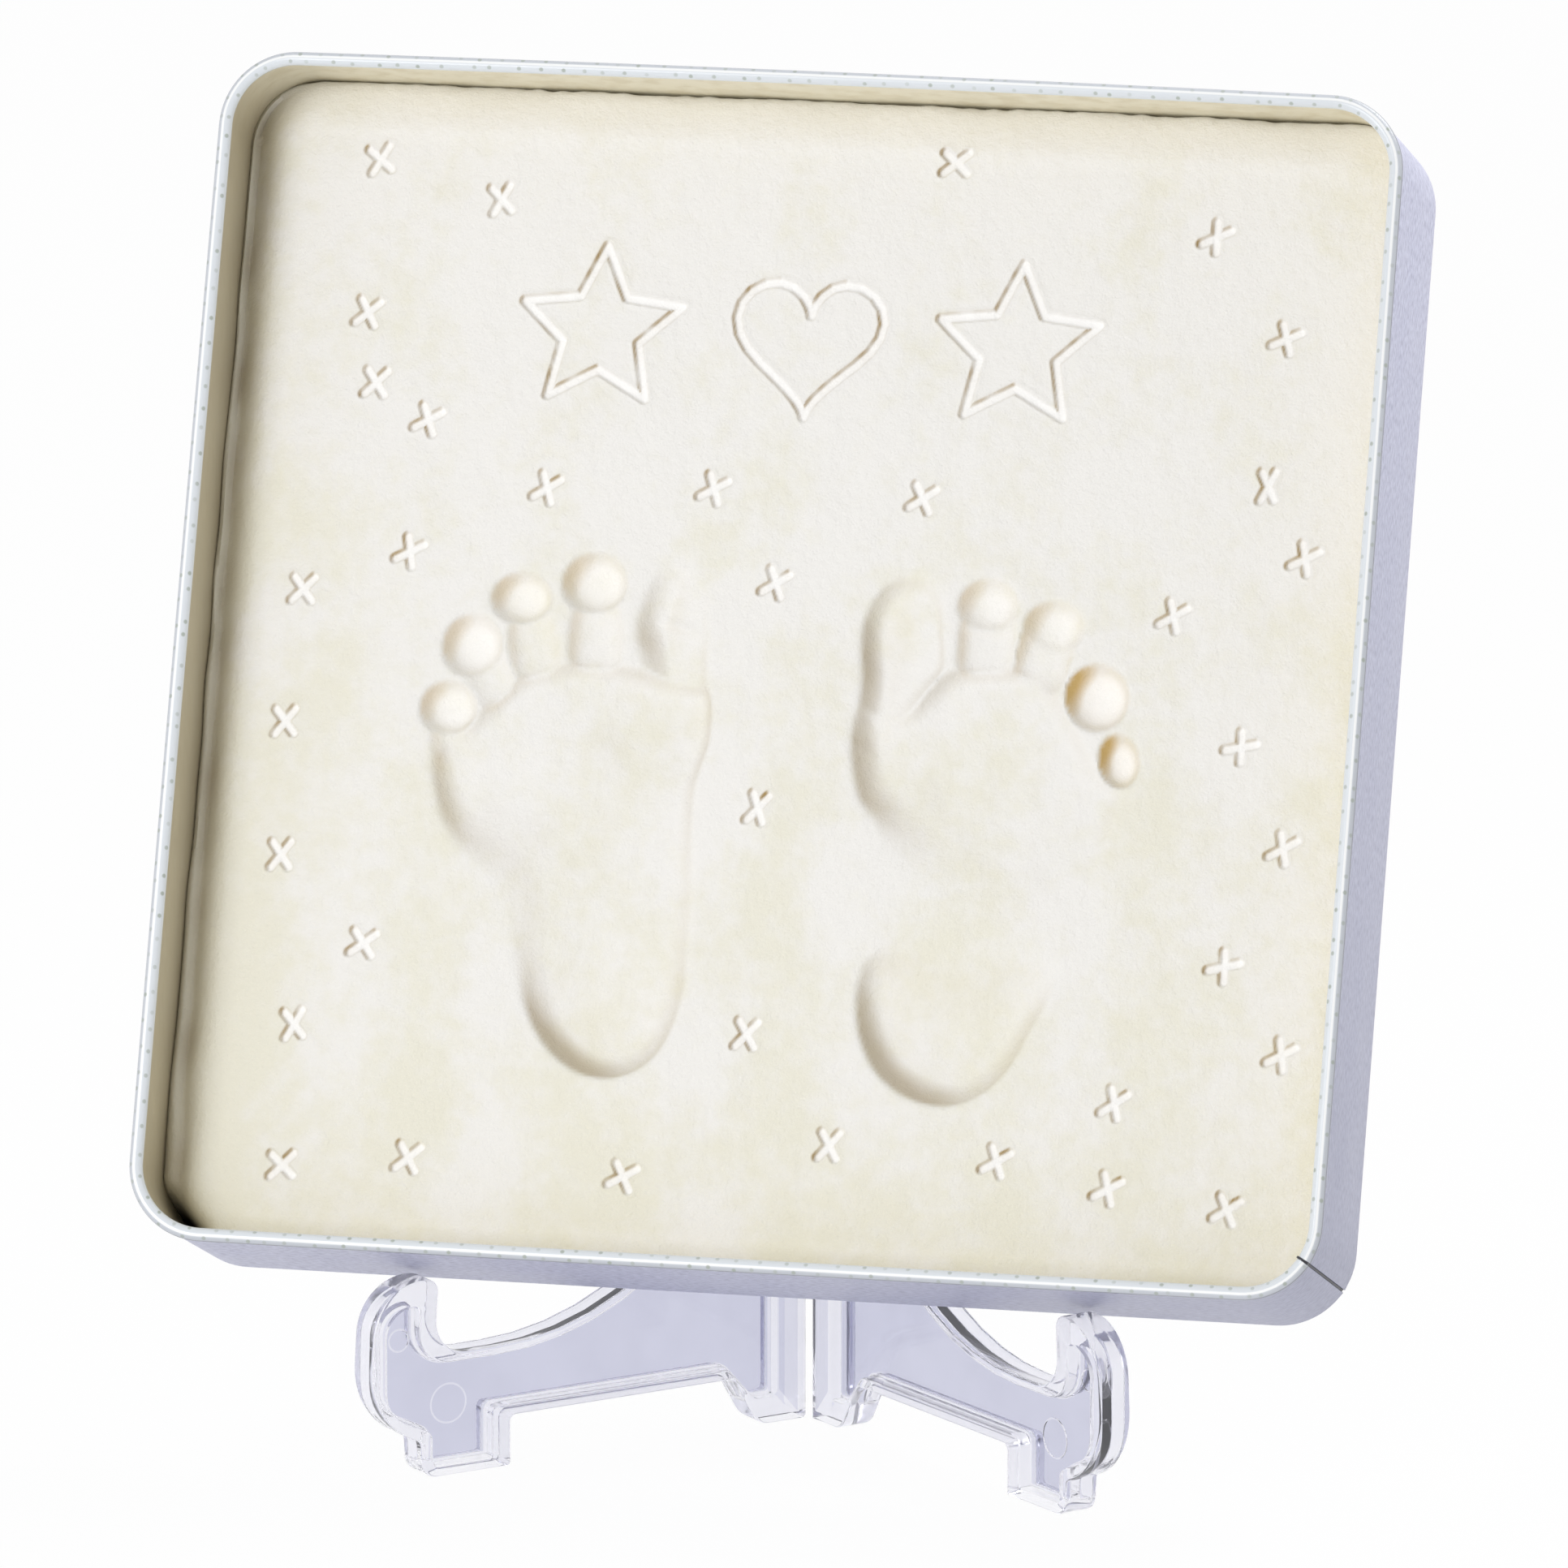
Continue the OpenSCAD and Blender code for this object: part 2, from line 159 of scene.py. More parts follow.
def outward(outline: Array) -> Array:
    """Outward normals at the points of an outline that runs anticlockwise.

    Args:
        outline: Points of the outline.

    Returns:
        One unit normal per point, lengthened where the outline turns so that an offset keeps its width.
    """
    ahead = np.roll(outline, -1, axis=0) - outline
    ahead /= np.linalg.norm(ahead, axis=1, keepdims=True)
    behind = np.roll(ahead, 1, axis=0)
    normals = np.stack((ahead[:, 1] + behind[:, 1], -ahead[:, 0] - behind[:, 0]), axis=1)
    normals /= np.linalg.norm(normals, axis=1, keepdims=True)
    width = normals[:, 0] * ahead[:, 1] - normals[:, 1] * ahead[:, 0]
    return normals / np.clip(width, 0.7, 1)[:, None]


def from_line(x: Array, y: Array, line: tuple) -> tuple[Array, Array, Array]:
    """Where each place lies beside a straight line.

    Args:
        x: Places across.
        y: Places up.
        line: x and y of both ends of the line.

    Returns:
        Share of the way along the line to its nearest point, and the way from that point across and up.
    """
    ax, ay, bx, by = line
    dx, dy = bx - ax, by - ay
    t = np.clip(((x - ax) * dx + (y - ay) * dy) / (dx * dx + dy * dy), 0, 1)
    return t, x - ax - t * dx, y - ay - t * dy


@dataclass(frozen=True)
class Waves:
    """Smooth unevenness made of crossing waves."""

    # Usual height, mean length in millimetres, number of waves, and seed of their directions and phases
    height: float
    length: float
    count: int
    seed: int

    def at(self, x: Array, y: Array) -> Array:
        """Height of the waves at each place.

        Args:
            x: Places across, in millimetres.
            y: Places up, in millimetres.

        Returns:
            Heights above and below 0.
        """
        draw = np.random.default_rng(self.seed)
        total = np.zeros_like(x)
        for _ in range(self.count):
            angle, phase = draw.uniform(0, 2 * math.pi, 2)
            pace = 2 * math.pi / (self.length * draw.uniform(0.6, 1.6))
            total += np.sin(pace * (x * math.cos(angle) + y * math.sin(angle)) + phase)
        return self.height * (total / math.sqrt(self.count))


class Nodes:
    """A node tree, with short calls to add nodes and join them."""

    def __init__(self, tree: bpy.types.NodeTree) -> None:
        """Keeps the tree that the calls work on."""
        self.tree = tree

    def add(self, kind: str, settings: dict | None = None, **inputs) -> bpy.types.Node:
        """Adds a node and fills its inputs.

        Args:
            kind: Type of the node without its ShaderNode prefix.
            settings: Properties of the node.
            **inputs: Values or sockets by input name, with _ for a space, or by number as in_0.

        Returns:
            The node.
        """
        node = self.tree.nodes.new("ShaderNode" + kind)
        for key, value in (settings or {}).items():
            setattr(node, key, value)
        for key, value in inputs.items():
            name = int(key[3:]) if key.startswith("in_") else key.replace("_", " ")
            self.put(node.inputs[name], value)
        return node

    def put(self, socket: Socket, value: object) -> None:
        """Sets a socket to a value, or links it to another socket.

        Args:
            socket: Input to fill.
            value: Value, or the socket that feeds it.
        """
        if isinstance(value, Socket):
            self.tree.links.new(value, socket)
        else:
            socket.default_value = value

    def math(self, operation: str, a: object, b: object = 0.0) -> Socket:
        """The result of a Math node on two values or sockets."""
        return self.add("Math", {"operation": operation}, in_0=a, in_1=b).outputs[0]

    def times(self, a: object, b: object) -> Socket:
        """The product of two values or sockets."""
        return self.math("MULTIPLY", a, b)

    def plus(self, a: object, b: object) -> Socket:
        """The sum of two values or sockets."""
        return self.math("ADD", a, b)

    def minus(self, a: object, b: object) -> Socket:
        """The difference of two values or sockets."""
        return self.math("SUBTRACT", a, b)

    def ramp(self, value: object, low: float, high: float) -> Socket:
        """A value spread from 0 at low to 1 at high, smoothly."""
        settings = {"interpolation_type": "SMOOTHSTEP"}
        return self.add("MapRange", settings, Value=value, From_Min=low, From_Max=high).outputs[0]

    def mix(self, share: object, first: object, second: object) -> Socket:
        """The colour between two colours.

        Args:
            share: Share of the second colour.
            first: Colour or socket.
            second: Colour or socket.

        Returns:
            The mixed colour's socket.
        """
        node = self.add("Mix", {"data_type": "RGBA"})
        self.put(node.inputs[0], share)
        self.put(node.inputs[6], first)
        self.put(node.inputs[7], second)
        return node.outputs[2]

    def noise(self, size: float, detail: float = 3.0, stretch: tuple = (1, 1, 1)) -> Socket:
        """Noise in the object's own space.

        Args:
            size: Size of the noise's features in millimetres.
            detail: Number of finer layers.
            stretch: Scale of the coordinates along each axis.

        Returns:
            The noise's value, from 0 to 1.
        """
        place = self.add("TexCoord").outputs["Object"]
        scaled = self.add("VectorMath", {"operation": "MULTIPLY"}, in_0=place, in_1=stretch).outputs[0]
        return self.add("TexNoise", None, Vector=scaled, Scale=1 / (size * MM), Detail=detail).outputs[0]

    def stored(self, name: str) -> Socket:
        """The value of a mesh attribute."""
        return self.add("Attribute", {"attribute_name": name}).outputs["Fac"]

    def uneven(self, base: float, spread: float, size: float) -> Socket:
        """A value that strays up from a base by a spread, in patches of a size in millimetres."""
        return self.plus(self.times(self.noise(size), spread), base)

    def seen_directly(self) -> Socket:
        """Tells looking rays from light.

        Returns:
            1 for rays that the camera, gloss or clear plastic sends out, and 0 for light.
        """
        path = self.add("LightPath").outputs
        shine = self.math("MAXIMUM", path["Is Glossy Ray"], path["Is Transmission Ray"])
        return self.math("MAXIMUM", path["Is Camera Ray"], shine)


class Bench(Nodes):
    """A material with a Principled shader and the nodes that feed it."""

    def __init__(self, name: str) -> None:
        """Makes the material.

        Args:
            name: Name of the material.
        """
        self.material = bpy.data.materials.new(name)
        self.material.use_nodes = True
        super().__init__(self.material.node_tree)
        self.shader = self.tree.nodes["Principled BSDF"]

    def bump(self, height: object, depth: float, strength: float = 1.0) -> None:
        """Gives the shader a bump of a depth in millimetres."""
        node = self.add("Bump", None, Height=height, Distance=depth * MM, Strength=strength)
        self.tree.links.new(node.outputs[0], self.shader.inputs["Normal"])

    def surface(self, **inputs) -> None:
        """Sets inputs of the Principled shader by name, with _ for a space."""
        for key, value in inputs.items():
            self.put(self.shader.inputs[key.replace("_", " ")], value)


@dataclass(frozen=True)
class ClayFinish:
    """Dry air-hardening clay: matt cream, a little warmer in patches, with painted light and painted shade on
    its marks, prints and edges.
    """

    pale: Colour = tone(245, 243, 239)
    warm: Colour = tone(239, 236, 221)
    # Painted light; painted shadow on the marks' walls; painted shade in the soles and in the toes; the left
    # wall's painted shadow; painted shade in the corner hole
    painted_light_white: Colour = tone(254, 253, 251)
    tan: Colour = tone(176, 148, 94)
    sole_shade: Colour = tone(192, 177, 150)
    toe_shade: Colour = tone(214, 183, 122)
    wall_shadow: Colour = tone(170, 154, 126)
    hole_shade_colour: Colour = tone(58, 46, 30)
    grain_depth: float = 0.2

    def make(self) -> bpy.types.Material:
        """Builds the material.

        Returns:
            The material.
        """
        bench = Bench("clay")
        flecks = bench.times(bench.minus(bench.noise(3.2, 7), 0.5), 1.4)
        colour = bench.mix(bench.ramp(bench.plus(bench.stored("warmth_and_shade"), flecks), 0, 1), self.pale, self.warm)
        # Painted light, shadow and shade over the clay's own colour
        layers = {
            "painted_wall_shadow": self.wall_shadow, "painted_hole_shade": self.hole_shade_colour, "in_sole": self.sole_shade,
            "pressed": self.painted_light_white, "in_toe": self.toe_shade, "painted_groove_shadow": self.tan,
        }
        for name, over in layers.items():
            colour = bench.mix(bench.stored(name), colour, over)
        fine = bench.plus(bench.noise(1.3, 4), bench.times(bench.noise(0.35, 2), 0.5))
        broad = bench.times(bench.noise(4.5, 3, (1, 0.5, 0.5)), 1.6)
        bench.bump(bench.plus(fine, broad), self.grain_depth)
        bench.surface(Base_Color=colour, Roughness=bench.uneven(0.7, 0.12, 4), Specular_IOR_Level=0.25)
        return bench.material


@dataclass(frozen=True)
class WallPaint:
    """Lavender-grey lacquer on the outside of the tin, with a fine mottle and painted shade towards the lower
    right.
    """

    name: str = "lavender_lacquer"
    colour: Colour = tone(206, 208, 231)
    mottle: Colour = tone(171, 172, 198)
    shade: Colour = tone(140, 142, 163)
    seam: Colour = tone(38, 38, 46)
    # Whether the paint is on the wall band, and then its mottle's cells per millimetre along and across it
    on_band: bool = True
    along: float = 0.9
    across: float = 1.9

    def make(self) -> bpy.types.Material:
        """Builds the material.

        Returns:
            The material.
        """
        bench = Bench(self.name)
        fine = bench.noise(0.9, 2, (1, 1, 1.8))
        if self.on_band:
            along = bench.times(bench.stored("run"), self.along)
            place = bench.add("CombineXYZ", None, X=along, Y=bench.times(bench.stored("level"), self.across))
            fine = bench.add("TexNoise", None, Vector=place.outputs[0], Scale=1.0, Detail=3.0).outputs[0]
        bench.bump(fine, 0.03, 0.5)
        colour = bench.mix(bench.ramp(fine, 0.38, 0.66), self.colour, self.mottle)
        # Painted shade towards the lower right
        colour = bench.mix(bench.stored("painted_shade"), colour, self.shade)
        colour = bench.mix(bench.stored("seam"), colour, self.seam)
        bench.surface(Base_Color=colour, Roughness=bench.uneven(0.34, 0.12, 7))
        return bench.material


@dataclass(frozen=True)
class RimPaint:
    """White lacquer on the rolled rim, greyer on its outer side as painted shade, with a painted highlight
    along its crest, a painted shadow under its curl and two rows of small grey-green dots.
    """

    # Inner side, outer side greyer as painted shade, painted highlight on the crest, dots, painted shadow under
    # the curl, seam
    inner: Colour = tone(224, 229, 234)
    outer: Colour = tone(200, 204, 211)
    crest: Colour = tone(253, 254, 254)
    dot: Colour = tone(168, 176, 166)
    groove: Colour = tone(112, 114, 128)
    seam: Colour = tone(38, 38, 46)
    # Dots: pitch, radius, and how far they stray along the row, in pitches, and across it
    pitch: float = 3.3
    dot_r: float = 0.42
    stray_along: float = 0.6
    stray_across: float = 0.1
    # Places of the dots' rows and of the painted highlight on the rim's girth, and millimetres per unit of it
    rows: tuple[float, float] = (0.26, 0.72)
    highlight_at: float = 0.43
    girth_mm: float = 3.0

    def make(self) -> bpy.types.Material:
        """Builds the material.

        Returns:
            The material.
        """
        bench = Bench("rim_lacquer")
        run, girth = bench.stored("run"), bench.stored("girth")
        marks: object = 0.0
        # Each row draws its own chances, from cells numbered 500 on from the last row's
        for k, row in enumerate(self.rows):
            turns = bench.plus(bench.times(run, 1 / self.pitch), 0.5 * k)
            cell = bench.plus(bench.math("FLOOR", turns), 500.0 * k)
            chance = bench.add("TexWhiteNoise", {"noise_dimensions": "1D"}, W=cell)
            shift = bench.times(bench.minus(chance.outputs["Value"], 0.5), self.stray_along)
            middle = bench.minus(bench.minus(bench.math("FRACT", turns), 0.5), shift)
            along = bench.times(middle, self.pitch)
            other = bench.add("SeparateColor", None, Color=chance.outputs["Color"]).outputs
            sway = bench.times(bench.minus(other[1], 0.5), self.stray_across)
            across = bench.times(bench.minus(bench.minus(girth, row), sway), self.girth_mm)
            square = bench.plus(bench.math("POWER", along, 2), bench.math("POWER", across, 2))
            strength = bench.plus(bench.times(other[2], 0.6), 0.3)
            edge = bench.ramp(bench.math("SQRT", square), self.dot_r, self.dot_r * 0.4)
            marks = bench.math("MAXIMUM", marks, bench.times(edge, strength))
        # Painted shade: greyer on the outer side
        colour = bench.mix(bench.ramp(girth, 0.25, 0.5), self.outer, self.inner)
        # Painted highlight along the crest
        from_highlight = bench.math("ABSOLUTE", bench.minus(girth, self.highlight_at))
        colour = bench.mix(bench.ramp(from_highlight, 0.09, 0.03), colour, self.crest)
        colour = bench.mix(marks, colour, self.dot)
        # Painted shadow under the curl, where the rim leaves the wall
        colour = bench.mix(bench.times(bench.ramp(girth, 0.17, 0.05), 0.8), colour, self.groove)
        colour = bench.mix(bench.stored("seam"), colour, self.seam)
        bench.surface(Base_Color=colour, Roughness=bench.uneven(0.16, 0.1, 3))
        bench.bump(bench.noise(1.5), 0.01, 0.3)
        return bench.material


@dataclass(frozen=True)
class InsideLacquer:
    """Pale gold lacquer over the bare tinplate inside, dusty with clay, with painted shade on the left wall."""

    colour: Colour = tone(246, 239, 215)
    dust: Colour = tone(230, 221, 194)
    painted_shade: Colour = tone(204, 194, 168)

    def make(self) -> bpy.types.Material:
        """Builds the material.

        Returns:
            The material.
        """
        bench = Bench("inside_lacquer")
        smear = bench.ramp(bench.noise(3.5, 4, (1, 1, 0.5)), 0.4, 0.7)
        bench.bump(bench.noise(0.8), 0.02, 0.4)
        rough = bench.plus(bench.times(smear, 0.15), 0.3)
        # Painted shade on the inside of the left wall
        colour = bench.mix(bench.stored("left_wall_shade"), bench.mix(smear, self.colour, self.dust), self.painted_shade)
        bench.surface(Base_Color=colour, Roughness=rough)
        return bench.material


@dataclass(frozen=True)
class ClearPlastic:
    """Clear moulded styrene with a lavender cast and faint flow lines."""

    name: str
    tint: Colour
    streak: Colour
    clarity: float = 1.0
    bending: float = 1.35

    def make(self) -> bpy.types.Material:
        """Builds the material.

        Returns:
            The material.
        """
        bench = Bench(self.name)
        bench.bump(bench.noise(6, 2, (1, 1, 0.4)), 0.02, 0.5)
        colour = bench.mix(bench.ramp(bench.noise(9, 2), 0.3, 0.7), self.tint, self.streak)
        bench.surface(Base_Color=colour, Roughness=bench.uneven(0.02, 0.05, 4))
        bench.surface(Transmission_Weight=self.clarity, IOR=self.bending)
        return bench.material


class Side(Enum):
    """The two leaves of the easel, by the side of the hinge they open to."""

    LEFT = -1
    RIGHT = 1


@dataclass
class TinFrame:
    """The tin's own frame, in millimetres from its back's middle: x to the right, y up, z out of its face."""

    side: float = 170.0
    depth: float = 31.5
    corner_r: float = 11.0
    sheet: float = 0.4
    rim_d: float = 1.9
    rim_proud: float = 0.35
    lean: float = 22.1

    @property
    def wall_side(self) -> float:
        """Width of the tin across its wall."""
        return self.side - 2 * self.rim_proud

    @property
    def wall_r(self) -> float:
        """Radius of the wall's corners."""
        return self.corner_r - self.rim_proud

    def place(self, points: Array) -> Array:
        """Moves points from the tin's frame to where the tin leans.

        Args:
            points: Points in millimetres in the tin's frame.

        Returns:
            The points in metres in the shared frame.
        """
        low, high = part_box("tin_wall")
        tilt = math.radians(self.lean)
        half = self.wall_side / 2 * MM
        origin = np.array((0, high[1] - math.sin(tilt) * half, low[2] + math.cos(tilt) * half))
        right = np.array((1, 0, 0))
        up = np.array((0, math.sin(tilt), math.cos(tilt)))
        out = np.array((0, -math.cos(tilt), math.sin(tilt)))
        return origin + MM * points @ np.stack((right, up, out))


@dataclass
class Tin:
    """The tinplate band with its rolled rim and hem, and the pressed back panel."""

    tin: TinFrame
    # How far the ends of the right, top, left and lower side sit in from the side's middle
    bows: tuple = (0.1, 0.35, 0.1, 0.1)
    # Hem: width, and radius of the bend into it
    hem_w: float = 3.0
    bend_r: float = 0.5
    # Curl of the rim: angle in degrees at which it ends, its steps, and the wall's last points below it
    curl_end: float = 235.0
    curl_steps: int = 24
    curl_gap: float = 0.25
    curl_fade: float = 0.6
    curl_lap: float = 0.05
    # Seam: angle in degrees in its corner, width, width and height of the swelling beside it, and depth
    seam_turn: float = -30.0
    seam_w: float = 0.26
    seam_lip: float = 0.12
    seam_depth: float = 0.2
    seam_swell: float = 0.06
    # Points along a side, and degrees between points in a corner
    side_steps: int = 40
    corner_step: float = 5.0
    # Strength of the painted shade on the outside towards the lower right
    deepest_shade: float = 0.6

    def path(self) -> Array:
        """The way round the tin's wall, from the seam in the lower right corner and back to it.

        Returns:
            One row per point: its place, its outward normal, how far it sits in from a straight side, the
            length of the way to it, and how deep the outside is pressed in there.
        """
        reach = self.tin.wall_side / 2 - self.tin.wall_r
        spots, normals, insets = [], [], []

        def corner(centre: tuple[float, float], first: float, last: float) -> None:
            """Adds an arc from one angle to another.

            Args:
                centre: Centre of the arc.
                first: Angle in degrees at which it starts.
                last: Angle in degrees at which it ends.
            """
            steps = math.ceil((last - first) / self.corner_step)
            for k in range(steps + 1):
                turn = first + (last - first) * k / steps
                normal = np.array((math.cos(math.radians(turn)), math.sin(math.radians(turn))))
                spots.append(np.array(centre) + self.tin.wall_r * normal)
                normals.append(normal)
                insets.append(float(np.interp(turn % 360, (0, 90, 180, 270, 360), self.bows + self.bows[:1])))

        def straight(angle: int) -> None:
            """Adds the inner points of a side.

            Args:
                angle: Angle in degrees that the side faces.
            """
            turn = math.radians(angle)
            normal = np.array((math.cos(turn), math.sin(turn)))
            along = np.array((-normal[1], normal[0]))
            for k in range(1, self.side_steps):
                t = 2 * k / self.side_steps - 1
                spots.append(normal * self.tin.wall_side / 2 + along * reach * t)
                normals.append(normal)
                insets.append(self.bows[angle // 90] * t * t)

        corner((reach, -reach), self.seam_turn, 0)
        for angle, x, y in ((0, reach, reach), (90, -reach, reach), (180, -reach, -reach)):
            straight(angle)
            corner((x, y), angle, angle + 90)
        straight(270)
        corner((reach, -reach), 270, 360 + self.seam_turn)
        steps = np.linalg.norm(np.diff(spots, axis=0), axis=1)
        run = np.concatenate(([0], np.cumsum(steps)))
        return np.column_stack((spots, normals, insets, run, np.zeros(len(run))))

    def section(self) -> tuple[Array, list[int], Array]:
        """Section through the wall, round its outside, the rim, the inside and the hem.

        Returns:
            The section's points, the finish of the face after each, and how far round the rim each is.
        """
        outer, rim, inner = 0, 1, 2
        tin = self.tin
        points, finish, girth = [], [], []

        def put(offset: float, height: float, kind: int, part: float = 0.0) -> None:
            """Adds one point of the section.

            Args:
                offset: Distance outward from the wall's outside.
                height: Height over the tin's back.
                kind: Number of the finish after the point.
                part: How far round the rim the point is.
            """
            points.append((offset, height))
            finish.append(kind)
            girth.append(part)

        for k in range(4):
            angle = math.radians(-90 + 30 * k)
            put(self.bend_r * (math.cos(angle) - 1), self.bend_r * (1 + math.sin(angle)), outer)
        radius = tin.rim_d / 2
        middle = (tin.rim_proud - radius, tin.depth - radius)
        first = -math.degrees(math.acos(-middle[0] / radius))
        put(0, tin.depth * 0.5, outer)
        put(0, middle[1] + radius * math.sin(math.radians(first)) - self.curl_gap, outer)
        for k in range(self.curl_steps + 1):
            turn = first + (self.curl_end - first) * k / self.curl_steps
            angle = math.radians(turn)
            put(middle[0] + radius * math.cos(angle), middle[1] + radius * math.sin(angle), rim, turn / 180)
        put(-tin.sheet - self.curl_lap, middle[1] - radius - self.curl_gap, inner)
        put(-tin.sheet, middle[1] - radius - self.curl_fade, inner)
        put(-tin.sheet, tin.depth * 0.5, inner)
        put(-tin.sheet, tin.sheet, inner)
        put(-self.hem_w, tin.sheet, outer)
        put(-self.hem_w, 0, outer)
        return np.array(points), finish, np.array(girth)

    def build(self) -> Piece:
        """Carries the section round the path and closes it at the seam.

        Returns:
            The wall's mesh object.
        """
        rows = self.path()
        section, finish, girth = self.section()
        for shift, depth in ((0.0, self.seam_depth), (self.seam_lip, -self.seam_swell)):
            for end in (1, -1):
                rows = self.split(rows, shift, depth, end)
        spots, normals = rows[:, :2], rows[:, 2:4]
        insets, run, sunk = rows[:, 4:].T
        count, size = len(run), len(section)
        heights = np.tile(section[:, 1], (count, 1))
        mouth = (heights / self.tin.depth) ** 2
        offsets = section[:, 0] - insets[:, None] * mouth
        outside = np.isin(np.arange(size), [i for i, kind in enumerate(finish) if kind < 2])
        offsets = offsets - sunk[:, None] * outside
        flat = spots[:, None, :] + normals[:, None, :] * offsets[:, :, None]
        points = np.concatenate((flat, heights[:, :, None]), axis=2).reshape(-1, 3)
        faces, kinds = [], []
        for i in range(count):
            j = (i + 1) % count
            for k in range(size):
                m = (k + 1) % size
                faces.append([i * size + k, j * size + k, j * size + m, i * size + m])
                kinds.append(finish[k])
        piece = make_piece("tin_wall_painted", self.tin.place(points), faces, 40)
        for paint in (WallPaint().make(), RimPaint().make(), InsideLacquer().make()):
            piece.data.materials.append(paint)
        piece.data.polygons.foreach_set("material_index", kinds)
        store(piece, "run", np.repeat(run, size))
        store(piece, "girth", np.tile(girth, count))
        store(piece, "level", np.tile(section[:, 1] + section[:, 0], count))
        store(piece, "seam", np.repeat(sunk >= self.seam_depth, size))
        # Painted shade on the inside of the left wall, which faces away from the light
        store(piece, "left_wall_shade", np.repeat(np.maximum(-normals[:, 0], 0) ** 2, size))
        # Painted shade on the outside, strongest at the lower right
        right = np.clip(2 * spots[:, 0] / self.tin.wall_side, 0, 1)
        low = np.clip(0.5 - spots[:, 1] / self.tin.wall_side, 0, 1)
        store(piece, "painted_shade", np.repeat(self.deepest_shade * right * low, size))
        return piece

    def split(self, rows: Array, shift: float, depth: float, end: int) -> Array:
        """Adds one ring beside the seam, or sinks the ring at the seam itself.

        Args:
            rows: Points of the path.
            shift: Distance of the ring from the seam's edge.
            depth: How deep the ring is pressed in.
            end: 1 for the start of the path and -1 for its end.

        Returns:
            The path with the ring in place.
        """
        near = 0 if end > 0 else len(rows) - 1
        tangent = np.array((-rows[near, 3], rows[near, 2])) * end
        ring = rows[near].copy()
        ring[:2] += tangent * (shift or self.seam_w / 2)
        ring[5:] = ring[5] + end * shift, depth
        if shift == 0:
            rows[near] = ring
            return rows
        return np.insert(rows, 1 if end > 0 else near, ring, axis=0)

    def dress(self) -> list[Piece]:
        """Builds the wall and sets it on the tin's body, and gives the back panel its lacquer.

        Returns:
            The new pieces.
        """
        wall = self.build()
        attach(wall, "tin")
        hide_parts("tin_wall")
        panel = frame["nodes"]["tin_base"]
        panel.data.materials.clear()
        panel.data.materials.append(WallPaint(name="back_lacquer", on_band=False).make())
        return [wall]


def soft_depth(depth: Array, ease: float) -> Array:
    """Keeps only what is pressed in, with the brim of the hollow eased.

    Args:
        depth: Depth below the face, negative outside the hollow.
        ease: How far the brim is eased, in millimetres.

    Returns:
        Depths from 0 up.
    """
    return (depth + np.sqrt(depth * depth + ease * ease)) / 2


@dataclass(frozen=True)
class Dish:
    """A round hollow, as a toe leaves it."""

    # Place of the middle, half widths, depth, flatness of the floor, turn in degrees, squareness, eased brim
    x: float
    y: float
    rx: float
    ry: float
    depth: float
    flat: float = 2.4
    turn: float = 0.0
    square: float = 2.0
    ease: float = 0.25

    def press(self, x: Array, y: Array) -> Array:
        """Depth of the hollow at each place.

        Args:
            x: Places across.
            y: Places up the face.

        Returns:
            Depths in millimetres, fading to 0 outside.
        """
        c, s = math.cos(math.radians(self.turn)), math.sin(math.radians(self.turn))
        along = ((x - self.x) * c + (y - self.y) * s) / self.rx
        across = ((y - self.y) * c - (x - self.x) * s) / self.ry
        q = np.minimum(np.abs(along) ** self.square + np.abs(across) ** self.square, 9)
        return soft_depth(self.depth * (1 - q**self.flat), self.ease)


@dataclass(frozen=True)
class Hollow:
    """A hollow with a drawn outline, whose depth and wall change from place to place."""

    # Points of the outline: x, y, depth inside it, width of its wall
    outline: tuple
    # Steps of the curve between two points, and power that rounds the wall's foot
    steps: int = 5
    wall_power: float = 2.4
    # Reach outside the outline, ease of the brim, and how widely each part of the outline sets the depth
    margin: float = 6.0
    ease: float = 0.35
    blur: float = 3.0
    blur_power: float = 1.5

    def curve(self) -> Array:
        """Smooth closed curve through the outline's points.

        Returns:
            Rows of x, y, depth and wall.
        """
        p1 = np.array(self.outline, dtype=float)
        p0, p2, p3 = np.roll(p1, 1, axis=0), np.roll(p1, -1, axis=0), np.roll(p1, -2, axis=0)
        square, cube = 2 * p0 - 5 * p1 + 4 * p2 - p3, 3 * p1 - p0 - 3 * p2 + p3
        parts = []
        for k in range(self.steps):
            t = k / self.steps
            bend = 2 * p1 + (p2 - p0) * t + square * t**2 + cube * t**3
            parts.append(bend / 2)
        return np.stack(parts, axis=1).reshape(-1, 4)

    def press(self, x: Array, y: Array) -> Array:
        """Depth of the hollow at each place.

        Args:
            x: Places across.
            y: Places up the face.

        Returns:
            Depths in millimetres, fading to 0 outside.
        """
        ring = self.curve()
        left, lower = ring[:, :2].min(axis=0) - self.margin
        right, upper = ring[:, :2].max(axis=0) + self.margin
        box = (x > left) & (x < right) & (y > lower) & (y < upper)
        px, py = x[box], y[box]
        near = np.full(px.shape, 1e6)
        inside = np.zeros(px.shape, dtype=bool)
        depth, wall, weight = np.zeros_like(px), np.zeros_like(px), np.zeros_like(px)
        for a, b in zip(ring, np.roll(ring, -1, axis=0)):
            _, across, up = from_line(px, py, (*a[:2], *b[:2]))
            gap = across**2 + up**2
            near = np.minimum(near, gap)
            dx, dy = b[:2] - a[:2]
            share = math.hypot(dx, dy) / (gap + self.blur) ** self.blur_power
            depth += share * a[2]
            wall += share * a[3]
            weight += share
            level = (a[1] > py) != (b[1] > py)
            inside ^= level & (px < a[0] + (py - a[1]) * dx / (dy or 1e-9))
        depth, wall, near = depth / weight, wall / weight, np.sqrt(near)
        slope = 1 - (1 - np.minimum(near / wall, 1)) ** self.wall_power
        pressed = np.where(inside, depth * slope, -depth * self.wall_power * near / wall)
        result = np.zeros_like(x)
        result[box] = soft_depth(pressed, self.ease)
        return result


